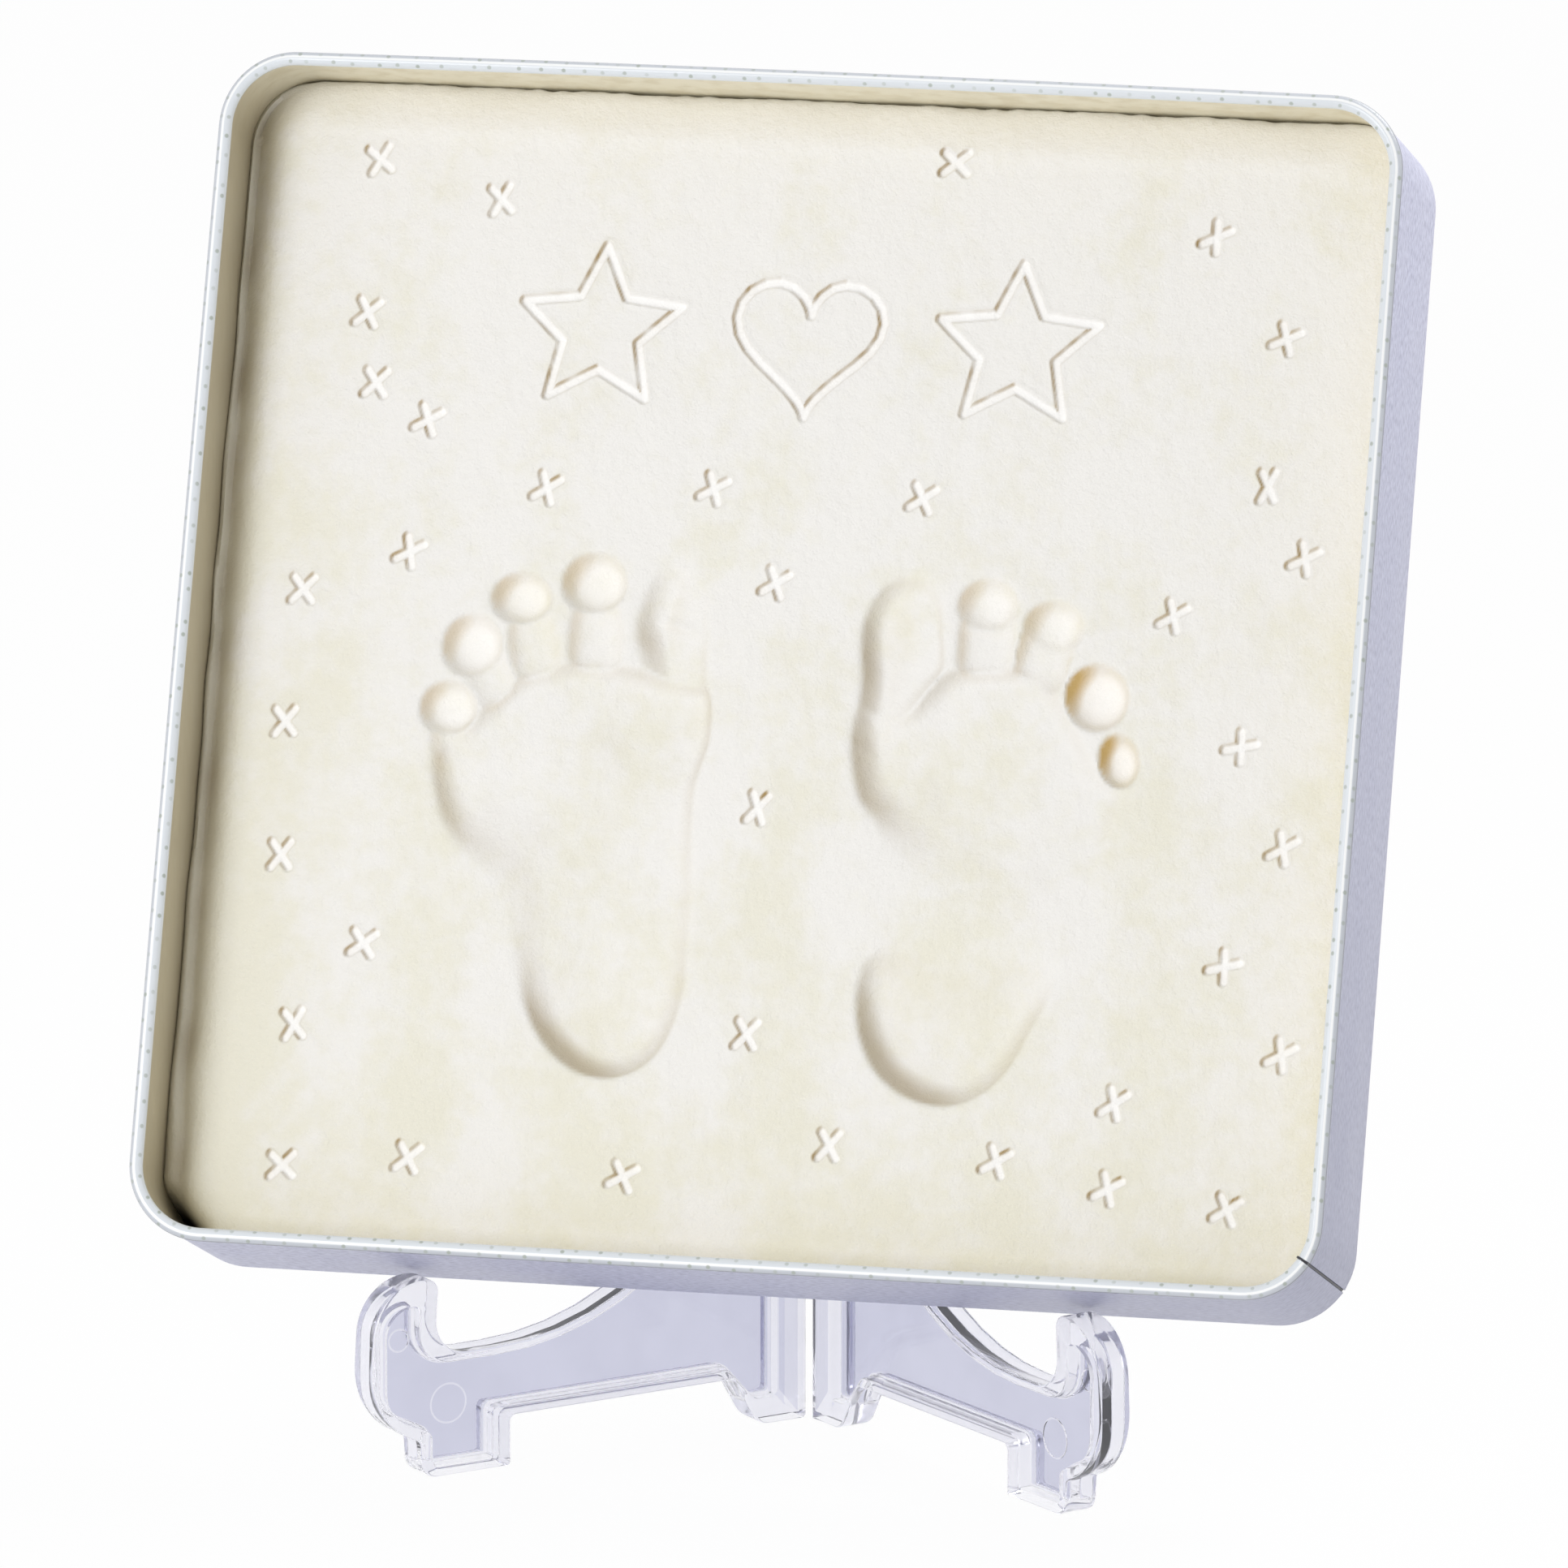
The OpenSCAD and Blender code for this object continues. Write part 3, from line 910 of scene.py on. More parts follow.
@dataclass
class ClaySlab:
    """The slab of clay with its footprints, small crosses and a row of stars and a heart."""

    tin: TinFrame
    # Heights of the face and the underside over the tin's back, gap to the wall, and radius of the upper edge
    top: float = 18.5
    bottom: float = 0.8
    gap: float = 0.05
    edge_r: float = 0.12
    # How far the clay has drawn back from the top wall, and how far down the face that reaches
    top_gap: float = 0.27
    top_gap_reach: float = 3.0
    # Drop towards the wall and width of the slope, on the right, top, left and lower side, and their curve
    slopes: tuple = ((0.7, 5.0), (5.2, 8.0), (7.6, 7.0), (1.0, 5.0))
    slope_power: float = 1.6
    # Height of the rolled lip along the left wall, and its width at the top and at the bottom
    lip: float = 2.6
    lip_w: tuple = (0.65, 2.3)
    # Depth and width of the hole in the lower left corner
    corner_hole: float = 13.0
    corner_hole_w: float = 2.2
    # Marks of the stick: width, depth, tilt of the floor, squareness of the groove, how far round they count
    stroke_w: float = 1.4
    stroke_depth: float = 0.62
    stroke_tilt: float = 0.35
    stroke_square: float = 6.0
    stroke_reach: float = 4.0
    # Burr beside a mark: height, distance from the mark's edge, width
    burr: float = 0.1
    burr_out: float = 0.2
    burr_w: float = 0.22
    # Directions across the face from which the painted shade of the marks, the soles and the toes takes the
    # light to come; the first also deepens each mark's floor on the side towards it
    light_from: tuple[float, float] = (-0.97, 0.24)
    sole_light: tuple[float, float] = (-0.7, -0.71)
    toe_light: tuple[float, float] = (-0.92, 0.39)
    # Grid of the face: cells along a side at its coarsest, times that a cell may be halved, and sizes of
    # cells on the plain face, near detail, on slopes and along marks
    coarse_cells: int = 100
    levels: int = 3
    cell_sizes: tuple[float, ...] = (1.7, 0.85, 0.42, 0.21)
    # Sharpness with which hollows run into one another, and depth at which a place is well inside a print
    blend: float = 5.0
    well_inside: float = 1.5
    # Unevenness of the slopes, the face, the top edge and the lip, then of the marks' painted shadow, the warm
    # tone and the left wall's painted shadow
    slope_waves: Waves = Waves(0.07, 18, 10, 12)
    broad_waves: Waves = Waves(0.1, 34, 12, 3)
    fine_waves: Waves = Waves(0.04, 9, 16, 8)
    bay_waves: Waves = Waves(0.3, 22, 6, 41)
    tooth_waves: Waves = Waves(0.35, 2.6, 14, 42)
    lip_waves: Waves = Waves(0.15, 16, 8, 31)
    groove_shadow_waves: Waves = Waves(0.35, 4, 8, 21)
    warm_waves: Waves = Waves(0.25, 22, 16, 17)
    wall_shadow_waves: Waves = Waves(0.25, 14, 8, 5)
    # Sole of the left foot, front and heel of the right foot's sole
    soles: tuple = (
        Hollow((
            (-21.6, -57.4, 3.7, 4), (-25, -56.6, 3.7, 4), (-28.4, -54.5, 3.6, 4.2), (-31.4, -51.1, 3.3, 4.4),
            (-33.4, -47.2, 2.4, 4.8), (-34.6, -42.8, 1.3, 6), (-36.1, -36.8, 0.8, 7), (-38, -31.9, 0.7, 7.5),
            (-40.9, -28.3, 0.9, 6.5), (-44.7, -25.5, 1.3, 5.4), (-47.3, -21.8, 1.9, 5),
            (-48.7, -17.8, 2.1, 4.6), (-49.5, -13.2, 1.3, 4), (-47, -9.4, 1.4, 3.6), (-43, -5.7, 1.9, 3.6),
            (-38.8, -1.5, 1.9, 3.6), (-35.1, 0.4, 1.9, 3.6), (-30.1, 1.6, 1.9, 3.6), (-25.5, 1.6, 1.9, 3.6),
            (-20.4, 1.1, 1.9, 3.6), (-14.2, -0.3, 2, 3), (-10.2, -1.6, 2.2, 2.2), (-9.5, -7.8, 2.1, 2),
            (-10.4, -12.4, 1.9, 2.4), (-11.1, -16, 1.6, 3),
            (-10.9, -22.5, 1.5, 3.4), (-10.3, -30, 1.4, 4), (-10.2, -37.5, 1.6, 4.2),
            (-10.2, -43.5, 2.2, 4.2), (-11.3, -49.1, 2.8, 4.2), (-13, -53, 3.2, 4.3),
            (-15.6, -55.7, 3.4, 4.2), (-18.6, -57.1, 3.6, 4),
        )),
        Hollow((
            (12.2, -2.4, 2.6, 4), (17.4, -2.7, 2.1, 3.4), (20.8, 0.3, 2.2, 3.2), (23.7, 2.8, 2.3, 3.2),
            (28.9, 3.8, 2.3, 3.2), (33.5, 3.8, 2.2, 3.2), (37.8, 3, 1.6, 3.8), (41, -1.8, 1.3, 3.8),
            (43.6, -5.8, 1.2, 3.8), (46.3, -10.3, 1.2, 3.8), (49.4, -12.7, 1.3, 3.8), (49.1, -16.3, 1.3, 4.2),
            (47.3, -22.3, 1, 5), (44.7, -25.8, 0.8, 6), (38.2, -29.2, 0.5, 8), (30, -29.6, 0.4, 9),
            (22, -27, 0.5, 8), (16.9, -22.1, 1, 7), (14.3, -18.6, 1.8, 6), (12.2, -16.1, 2.6, 5.4),
            (11, -12, 3, 5.2), (10.4, -7.9, 3, 5), (10.8, -3.8, 2.8, 4.4),
        )),
        Hollow((
            (16.1, -37.6, 1.8, 4.4), (14.5, -40.7, 2.7, 4.2), (14.1, -44.4, 3.2, 4.2), (15, -49.5, 3.6, 4.4),
            (17.4, -54, 3.8, 4.6), (20.8, -56.9, 3.8, 4.6), (24.8, -58.5, 3.7, 4.6), (29.2, -58.6, 3.7, 4.6),
            (33.4, -56.7, 3.6, 4.4), (36.9, -52.8, 3.3, 4.2), (39.7, -47.1, 2.6, 4.2),
            (41.7, -43.2, 1.7, 4.6), (42.6, -38.7, 0.8, 6), (38.6, -33.8, 0.3, 9), (30.2, -32.2, 0.2, 10),
            (22, -34.2, 0.5, 8),
        )),
    )
    # Balls of the toes and the necks below them, first of the left foot and then of the right one
    toes: tuple = (
        Dish(-47.5, -5.9, 4.3, 4.0, 2.9, 1.8), Dish(-44.9, 3.1, 4.4, 4.6, 3.1, 1.8),
        Dish(-38.3, 10.2, 4.5, 3.8, 3.1, 1.8), Dish(-28, 12.8, 4.8, 4.5, 3.3, 1.8),
        Dish(-46.4, -11.4, 3.4, 5, 1.4, 0.9, 10, 2.6), Dish(-41.8, -1.6, 3.5, 4.8, 1.4, 0.9, 29, 2.6),
        Dish(-36, 3.2, 3.8, 5.4, 1.7, 1, 12, 3), Dish(-27.2, 4.8, 4.1, 6, 1.8, 1, 2, 3),
        Dish(28.6, 12.2, 4.5, 4.1, 2.8, 1.5), Dish(38.2, 9.6, 4.5, 4, 2.9, 1.5),
        Dish(45.1, 0, 4.7, 4.9, 3.4, 1.9, 20), Dish(48.9, -8.8, 3.0, 4, 2.9, 1.8, 12),
        Dish(28.8, 6.8, 4.3, 5.6, 1.9, 1.1, 0, 3.4), Dish(36.9, 5.2, 4.3, 5.6, 2.2, 1.1, -14, 3),
    )
    # Big toe of the left foot and of the right foot
    big_toes: tuple = (
        Hollow((
            (-18.3, 15.8, 1.4, 6), (-20.2, 13.1, 2.9, 6), (-21.5, 8.7, 3.4, 6), (-21.7, 5.6, 2.7, 5.8),
            (-20.8, 2.6, 1.3, 5), (-19.6, -2, 1.2, 5), (-18, -8, 1.3, 5), (-14, -10, 1.5, 4),
            (-10.2, -7, 1.3, 1.8), (-10.6, 0, 1, 1.5), (-10.9, 5, 0.8, 1.4), (-11.3, 10, 0.5, 1.6),
            (-12, 14.5, 0.25, 4), (-15, 16.8, 0.3, 5),
        ), wall_power=1.8),
        Hollow((
            (16.4, 15.9, 1.4, 3.4), (13.4, 14.2, 2.4, 3.4), (11.2, 10.2, 3, 3.4), (10.8, 6, 3.2, 3.6),
            (11.3, 1, 3.1, 3.8), (11, -4, 3, 4.4), (10.6, -8, 2.9, 4.8), (14, -11, 2.2, 5),
            (18, -7, 1.8, 4.4), (21, -0.5, 1.6, 3), (23, 3.2, 1.3, 1.7), (22.5, 8.6, 1, 1.4),
            (21.9, 13, 0.8, 2), (19.8, 15.6, 0.8, 3.4),
        )),
    )
    # Left edge and upper edge of the area on the right foot where the toes get stronger painted light and
    # stronger golden painted shade
    strong_paint_area: tuple[float, float] = (40.4, 5.5)
    # Deeper places inside a print: x, y, spread, extra depth
    swells: tuple = (
        (-19, -6, 7.5, 0.6), (-39, -16, 7, 0.5), (-22, -47, 8, 0.5), (26, -8, 9, 0.4), (27, -49, 8, 0.4),
    )
    # Ridges that skin folds leave in a print: x and y of both ends, then their height and width
    creases: tuple = ((-19, 8.4, -11, 6), (24.6, 8.9, 33, 9.1))
    crease_h: float = 0.4
    crease_w: float = 0.75
    # Small crosses: place, angle of the rising bar, angle of the falling bar, then the lengths of both bars
    crosses: tuple = (
        (-64, 72, 62, -38), (-46, 67, 63, -45), (19, 75, 40, -42), (57, 66, 26, -89), (68, 52, 25, -73),
        (-64, 50, 41, -61), (-62, 40, 46, -54), (-54, 35, 30, -69), (-36, 26, 33, -72), (-12, 27, 30, -71),
        (18, 27, 35, -62), (67, 31, 65, -63), (73, 21, 28, -78), (-55, 16, 28, -79), (-70, 10, 47, -51),
        (-2, 14, 33, -68), (55, 12, 32, -75), (-71, -9, 54, -50), (66, -6, 13, -88), (-70, -28, 55, -53),
        (73, -20, 31, -78), (-2, -18, 49, -69), (-57, -40, 38, -53), (66, -37, 15, -88), (-66, -52, 63, -48),
        (-1, -50, 49, -58), (75, -49, 29, -80), (52, -57, 36, -75), (12, -65, 51, -59), (-66, -72, 47, -41),
        (-48, -70, 41, -59), (-17, -71, 30, -62), (36, -66, 32, -69), (52, -69, 30, -74), (69, -71, 34, -64),
    )
    cross_long: float = 6.0
    cross_short: float = 5.7
    # Row of a star, a heart and a star: height, pitch, radius and waist of a star, size and steps of a heart
    motif_y: float = 49.0
    motif_pitch: float = 30.0
    star_r: float = 12.0
    star_waist: float = 0.48
    heart_size: float = 0.66
    heart_steps: int = 36

    @property
    def half(self) -> float:
        """Half the slab's width."""
        return self.tin.wall_side / 2 - self.tin.sheet - self.gap

    @property
    def corner_r(self) -> float:
        """Radius of the slab's corners."""
        return self.tin.wall_r - self.tin.sheet - self.gap

    def strokes(self) -> Array:
        """Middle lines of all the marks pressed with a stick.

        Returns:
            One row per mark: x and y of both ends.
        """
        lines = []

        def bar(x: float, y: float, length: float, angle: float) -> None:
            """Adds a straight mark.

            Args:
                x: Place of its middle across.
                y: Place of its middle up the face.
                length: Length of the mark with its round ends.
                angle: Its angle in degrees.
            """
            reach = (length - self.stroke_w) / 2
            dx, dy = reach * math.cos(math.radians(angle)), reach * math.sin(math.radians(angle))
            lines.append((x - dx, y - dy, x + dx, y + dy))

        def loop(points: Plan) -> None:
            """Adds the marks round a closed outline."""
            for a, b in zip(points, points[1:] + points[:1]):
                lines.append((*a, *b))

        for x, y, rising, falling in self.crosses:
            bar(x, y, self.cross_long, rising)
            bar(x, y, self.cross_short, falling)
        for side in (-1, 1):
            star = []
            for k in range(10):
                radius = self.star_r * (1 if k % 2 == 0 else self.star_waist)
                turn = math.radians(36 * k)
                across, up = radius * math.sin(turn), radius * math.cos(turn)
                star.append((side * self.motif_pitch + across, self.motif_y + up))
            loop(star)
        heart = []
        for k in range(self.heart_steps):
            t = 2 * math.pi * k / self.heart_steps
            wide = 16 * math.sin(t) ** 3
            tall = 13 * math.cos(t) - 5 * math.cos(2 * t) - 2 * math.cos(3 * t) - math.cos(4 * t)
            heart.append((self.heart_size * wide, self.motif_y + self.heart_size * tall))
        loop(heart)
        return np.array(lines)

    def marks(self, x: Array, y: Array) -> tuple[Array, Array, Array]:
        """The stick's marks at each place.

        Args:
            x: Places across.
            y: Places up the face.

        Returns:
            Depth, distance to the nearest middle line, and how far the place lies to the mark's lit side,
            from -1 to 1.
        """
        half_w, reach = self.stroke_w / 2, self.stroke_reach
        depth, lit = np.zeros_like(x), np.zeros_like(x)
        nearest = np.full(x.shape, 2 * reach + 1)
        for line in self.strokes():
            ax, ay, bx, by = line
            box = (x > min(ax, bx) - reach) & (x < max(ax, bx) + reach)
            box &= (y > min(ay, by) - reach) & (y < max(ay, by) + reach)
            where = np.nonzero(box)[0]
            if not len(where):
                continue
            _, across, up = from_line(x[where], y[where], line)
            gap = np.hypot(across, up)
            side = (across * self.light_from[0] + up * self.light_from[1]) / half_w
            groove = np.maximum(1 - (gap / half_w) ** self.stroke_square, 0)
            cut = self.stroke_depth * groove * (1 + self.stroke_tilt * side)
            closer = np.where(cut > 0, cut > depth[where], gap < nearest[where])
            lit[where] = np.where(closer, side, lit[where])
            depth[where] = np.maximum(depth[where], cut)
            nearest[where] = np.minimum(nearest[where], gap)
        return depth, nearest, lit

    def blended(self, hollows: tuple, x: Array, y: Array) -> Array:
        """Depth of hollows that run into one another."""
        return sum(hollow.press(x, y) ** self.blend for hollow in hollows) ** (1 / self.blend)

    def prints(self, x: Array, y: Array) -> Array:
        """Depth of the two footprints at each place.

        Args:
            x: Places across.
            y: Places up the face.

        Returns:
            Depths in millimetres.
        """
        depth = self.blended(self.soles + self.big_toes + self.toes, x, y)
        within = np.clip(depth / self.well_inside, 0, 1)
        for cx, cy, spread, extra in self.swells:
            depth = depth + within * extra * np.exp(-((x - cx) ** 2 + (y - cy) ** 2) / spread**2)
        for line in self.creases:
            t, across, up = from_line(x, y, line)
            gap = across**2 + up**2
            depth = depth - within * self.crease_h * 4 * t * (1 - t) * np.exp(-gap / self.crease_w**2)
        return depth

    def inside(self, x: Array, y: Array) -> Array:
        """Distance from each place to the slab's outline.

        Args:
            x: Places across.
            y: Places up the face.

        Returns:
            Distances in millimetres, negative outside the slab.
        """
        qx = np.abs(x) - self.half + self.corner_r
        qy = np.abs(y) - self.half + self.corner_r
        beyond = np.hypot(np.maximum(qx, 0), np.maximum(qy, 0))
        return self.corner_r - beyond - np.minimum(np.maximum(qx, qy), 0)

    def height(self, x: Array, y: Array) -> Array:
        """Height of the clay's face over the tin's back.

        Args:
            x: Places across.
            y: Places up the face.

        Returns:
            Heights in millimetres.
        """
        d = np.maximum(self.inside(x, y), 0)
        edge = self.edge_r - np.sqrt(np.maximum(self.edge_r**2 - np.maximum(self.edge_r - d, 0) ** 2, 0))
        drop = 0
        for share, (fall, width) in zip(self.sides(x, y), self.slopes):
            drop = drop + share * fall * np.maximum(1 - d / width, 0) ** self.slope_power
        wavy = 1 + self.slope_waves.at(x, y)
        lip = self.lip * self.on_lip(x, y)
        hole = self.corner_hole * self.in_hole(x, y)
        uneven = self.broad_waves.at(x, y) + self.fine_waves.at(x, y)
        groove, gap, _ = self.marks(x, y)
        burr = self.burr * np.exp(-(((gap - self.stroke_w / 2 - self.burr_out) / self.burr_w) ** 2))
        return self.top - edge - drop * wavy + lip - hole + uneven - self.prints(x, y) - groove + burr

    def shrunk(self, x: Array, y: Array) -> Array:
        """How far the clay has drawn back from the top wall, with a ragged edge.

        Args:
            x: Places across.
            y: Places up the face.

        Returns:
            Distances in millimetres, fading to 0 down the face.
        """
        ragged = 1 + self.bay_waves.at(x, x * 0) + self.tooth_waves.at(x, x * 0)
        near = np.clip((y - self.half + self.top_gap_reach) / self.top_gap_reach, 0, 1)
        return self.top_gap * ragged * near**3

    def on_lip(self, x: Array, y: Array) -> Array:
        """Share of the clay's rolled lip along the left wall.

        Args:
            x: Places across.
            y: Places up the face.

        Returns:
            Shares from 0 to 1 on the lip's crest.
        """
        d = np.maximum(self.inside(x, y), 0)
        width = np.interp(y, (-self.half, self.half), self.lip_w[::-1]) * (1 + self.lip_waves.at(x * 0, y))
        return self.sides(x, y)[2] * np.exp(-((d / width) ** 4))

    def in_hole(self, x: Array, y: Array) -> Array:
        """Share of the hole that the clay leaves in the lower left corner, from 0 to 1 at the wall."""
        left, lower = self.sides(x, y)[2:]
        return 4 * left * lower * np.exp(-((np.maximum(self.inside(x, y), 0) / self.corner_hole_w) ** 2))

    def sides(self, x: Array, y: Array) -> tuple[Array, ...]:
        """Which sides of the slab are nearest to each place.

        Args:
            x: Places across.
            y: Places up the face.

        Returns:
            Shares of the right, top, left and lower side in the nearest part of the outline, adding up to 1.
        """
        qx = np.maximum(np.abs(x) - self.half + self.corner_r, 0.0)
        qy = np.maximum(np.abs(y) - self.half + self.corner_r, 0.0)
        across = (qx * qx + 1e-9) / (qx * qx + qy * qy + 2e-9)
        return across * (x > 0), (1 - across) * (y > 0), across * (x <= 0), (1 - across) * (y <= 0)

    def wanted(self, x: Array, y: Array, size: float) -> Array:
        """Size that a cell of the face's grid should have at each place.

        Args:
            x: Middles of the cells across.
            y: Middles of the cells up the face.
            size: Size of the cells.

        Returns:
            Sizes in millimetres.
        """
        plain, near, slope, mark = self.cell_sizes
        # Half a cell's diagonal, and a step just past its corners
        reach, step = 0.71 * size, size / 2 + 0.3
        near_edge, near_stroke = self.inside(x, y), self.marks(x, y)[1] - reach
        want = np.full(x.shape, plain)
        want[(near_edge < 10) | (near_stroke < 3)] = near
        probes = ((0, 0), (1, 1), (1, -1), (-1, 1), (-1, -1))
        depths = [self.prints(x + dx * step, y + dy * step) for dx, dy in probes]
        deepest = np.maximum.reduce(depths)
        want[deepest > 0.04] = near
        want[deepest - np.minimum.reduce(depths) > 0.15] = slope
        want[(near_edge - reach < 2.6) & ((x < 0) | (y > 0))] = slope
        want[near_stroke < 1.9] = slope
        want[near_stroke < 0.88] = mark
        return want

    def cells(self) -> Array:
        """Cells of a square grid over the face that gets finer where the clay has detail.

        Returns:
            One row per cell: column, row and size, in steps of the finest grid.
        """
        size = 2**self.levels
        pitch = 2 * self.half / (self.coarse_cells * size)
        steps = np.arange(self.coarse_cells) * size
        spots = np.stack(np.meshgrid(steps, steps), axis=-1).reshape(-1, 2)
        done = []
        while size > 1:
            middle = (spots + size / 2) * pitch - self.half
            split = self.wanted(middle[:, 0], middle[:, 1], size * pitch) < size * pitch * 0.99
            done.append(np.column_stack((spots[~split], np.full((~split).sum(), size))))
            size //= 2
            shifts = np.array(((0, 0), (1, 0), (0, 1), (1, 1))) * size
            spots = (spots[split][:, None, :] + shifts).reshape(-1, 2)
        done.append(np.column_stack((spots, np.ones(len(spots), dtype=int))))
        return np.concatenate(done)

    def rounded_place(self, a: Array, b: Array) -> tuple[Array, Array]:
        """Bends a square grid so that its outline has the slab's round corners.

        Args:
            a: Places across the square.
            b: Places up the square.

        Returns:
            The bent places.
        """
        ring = np.maximum(np.abs(a), np.abs(b))
        fade = np.clip((ring - self.half + 2 * self.corner_r) / (2 * self.corner_r), 0, 1)
        radius = self.corner_r * fade
        qx, qy = np.abs(a) - ring + radius, np.abs(b) - ring + radius
        bend = (qx > 0) & (qy > 0)
        length = np.where(bend, np.hypot(qx, qy), 1)
        share = np.where(bend, np.maximum(qx, qy) / length, 1)
        x = np.where(bend, ring - radius + qx * share, np.abs(a))
        y = np.where(bend, ring - radius + qy * share, np.abs(b))
        return np.copysign(x, a), np.copysign(y, b)

    @staticmethod
    def border(i: int, j: int, size: int, kept: Array) -> list[tuple[int, int]]:
        """Points of the grid on the border of a square, anticlockwise.

        Args:
            i: Column of the square's lower left corner.
            j: Row of that corner.
            size: Side of the square, in steps of the finest grid.
            kept: Which points the grid has.

        Returns:
            Column and row of each point.
        """
        steps = range(size)
        spots = [(i + k, j) for k in steps] + [(i + size, j + k) for k in steps]
        spots += [(i + size - k, j + size) for k in steps] + [(i, j + size - k) for k in steps]
        return [spot for spot in spots if kept[spot]]

    def build(self) -> Piece:
        """Builds the slab: the graded face, the sides and the underside.

        Returns:
            The slab's mesh object.
        """
        cells = self.cells()
        units = self.coarse_cells * 2**self.levels
        present = np.zeros((units + 1, units + 1), dtype=bool)
        for dx, dy in ((0, 0), (1, 0), (0, 1), (1, 1)):
            present[cells[:, 0] + dx * cells[:, 2], cells[:, 1] + dy * cells[:, 2]] = True
        corners = present.copy()
        rings = []
        for i, j, s in cells.tolist():
            ring, middle = self.border(i, j, s, corners), (i + s // 2, j + s // 2)
            rings.append((ring, middle))
            if len(ring) > 4:
                present[middle] = True
        number = np.cumsum(present).reshape(present.shape) - 1
        faces = []
        for ring, middle in rings:
            round_it = [int(number[p]) for p in ring]
            if len(ring) == 4:
                faces.append(round_it)
            else:
                hub = int(number[middle])
                faces += [[hub, p, q] for p, q in zip(round_it, round_it[1:] + round_it[:1])]
        grid = np.argwhere(present)
        a, b = (grid * 2 * self.half / units - self.half).T
        x, y = self.rounded_place(a, b)
        points = np.column_stack((x, y - self.shrunk(x, y), self.height(x, y)))
        upper = [int(number[p]) for p in self.border(0, 0, units, present)]
        lower = list(range(len(points), len(points) + len(upper)))
        under = points[upper].copy()
        under[:, 2] = self.bottom
        points = np.concatenate((points, under))
        for k in range(len(upper)):
            m = (k + 1) % len(upper)
            faces.append([lower[k], lower[m], upper[m], upper[k]])
        faces.append(lower[::-1])
        piece = make_piece("clay_imprint", self.tin.place(points), faces, 70)
        self.colour(piece, np.append(x, under[:, 0]), np.append(y, y[upper]))
        return piece

    def colour(self, piece: Piece, x: Array, y: Array) -> None:
        """Stores where the clay gets painted light, painted shadow and painted shade, and where it is warmer,
        and gives it its finish.

        Args:
            piece: The slab.
            x: Places of its vertices across.
            y: Places of its vertices up the face.
        """
        _, gap, lit = self.marks(x, y)
        half_w = self.stroke_w / 2
        toe, sole = self.blended(self.toes, x, y), self.blended(self.soles + self.big_toes, x, y)
        d, (_, top, beside, _) = np.maximum(self.inside(x, y), 0), self.sides(x, y)
        # Toes of the right foot with stronger painted light and painted shade
        strong_paint = np.where((x > self.strong_paint_area[0]) & (y < self.strong_paint_area[1]), 1.0, 0.0)
        # Painted light: white on the floors of the toes, along the top edge and in the marks
        white = (0.55 + 0.45 * strong_paint) * np.clip((toe - 1.9) / 0.9, 0, 1)
        white = np.maximum(white, 0.8 * top * np.clip(1.3 - d / 8, 0, 1))
        store(piece, "pressed", np.maximum(np.clip(2.2 - 2.0 * gap / half_w, 0, 1), white))
        # Painted shadow: tan on the walls of the marks, most on the side of the light, where the wall faces
        # away from it
        ragged = 0.8 + self.groove_shadow_waves.at(x, y)
        wall = np.exp(-(((gap - 0.95 * half_w) / 0.2) ** 2)) * np.clip(1.7 * lit - 0.3, 0.05, 1)
        store(piece, "painted_groove_shadow", np.clip(0.8 * ragged * wall, 0, 1))
        # Painted shade where a print's side looks away from the light, and some on every steep side
        normals = np.empty(3 * len(x), dtype=np.float32)
        piece.data.vertices.foreach_get("normal", normals)
        tilt = math.radians(self.tin.lean)
        right, up = normals[0::3], normals[1::3] * math.sin(tilt) + normals[2::3] * math.cos(tilt)
        steep = np.hypot(right, up)
        away = -(right * self.sole_light[0] + up * self.sole_light[1])
        shade = np.clip(np.maximum(1.6 * away, 0.55 * steep) - 0.1, 0, 1)
        store(piece, "in_sole", 0.75 * np.clip(sole / 0.8, 0, 1) * shade)
        away = -(right * self.toe_light[0] + up * self.toe_light[1])
        shade = np.clip(np.maximum(1.9 * away - 0.55, 0.12 * steep), 0, 1)
        store(piece, "in_toe", (0.42 + 0.58 * strong_paint) * np.clip(toe / 0.8, 0, 1) * shade)
        # Warmer towards the bottom, and towards the left side as the broad end of the left wall's painted
        # shadow
        warmth_and_shade = 0.3 - 0.3 * y / self.half + self.warm_waves.at(x, y)
        store(piece, "warmth_and_shade", np.clip(warmth_and_shade + 0.6 * np.clip(1 - (x + self.half) / 26, 0, 1), 0, 1))
        # Painted shadow of the left wall beside it, less on the lip, and painted shade in the corner hole
        wall_shadow = beside * np.clip(1.2 - d / 4.2, 0, 1) * (1 - 0.75 * self.on_lip(x, y))
        shadow_patches = 0.85 + self.wall_shadow_waves.at(x, y)
        store(piece, "painted_wall_shadow", np.clip(shadow_patches * wall_shadow * (0.7 - 0.15 * y / self.half), 0, 1))
        # Painted shade in the corner hole
        store(piece, "painted_hole_shade", np.clip(1.3 * self.in_hole(x, y), 0, 1))
        piece.data.materials.append(ClayFinish().make())

    def dress(self) -> list[Piece]:
        """Builds the slab and sets it in the tin.

        Returns:
            The new pieces.
        """
        slab = self.build()
        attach(slab, "tin")
        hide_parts("clay_slab")
        return [slab]


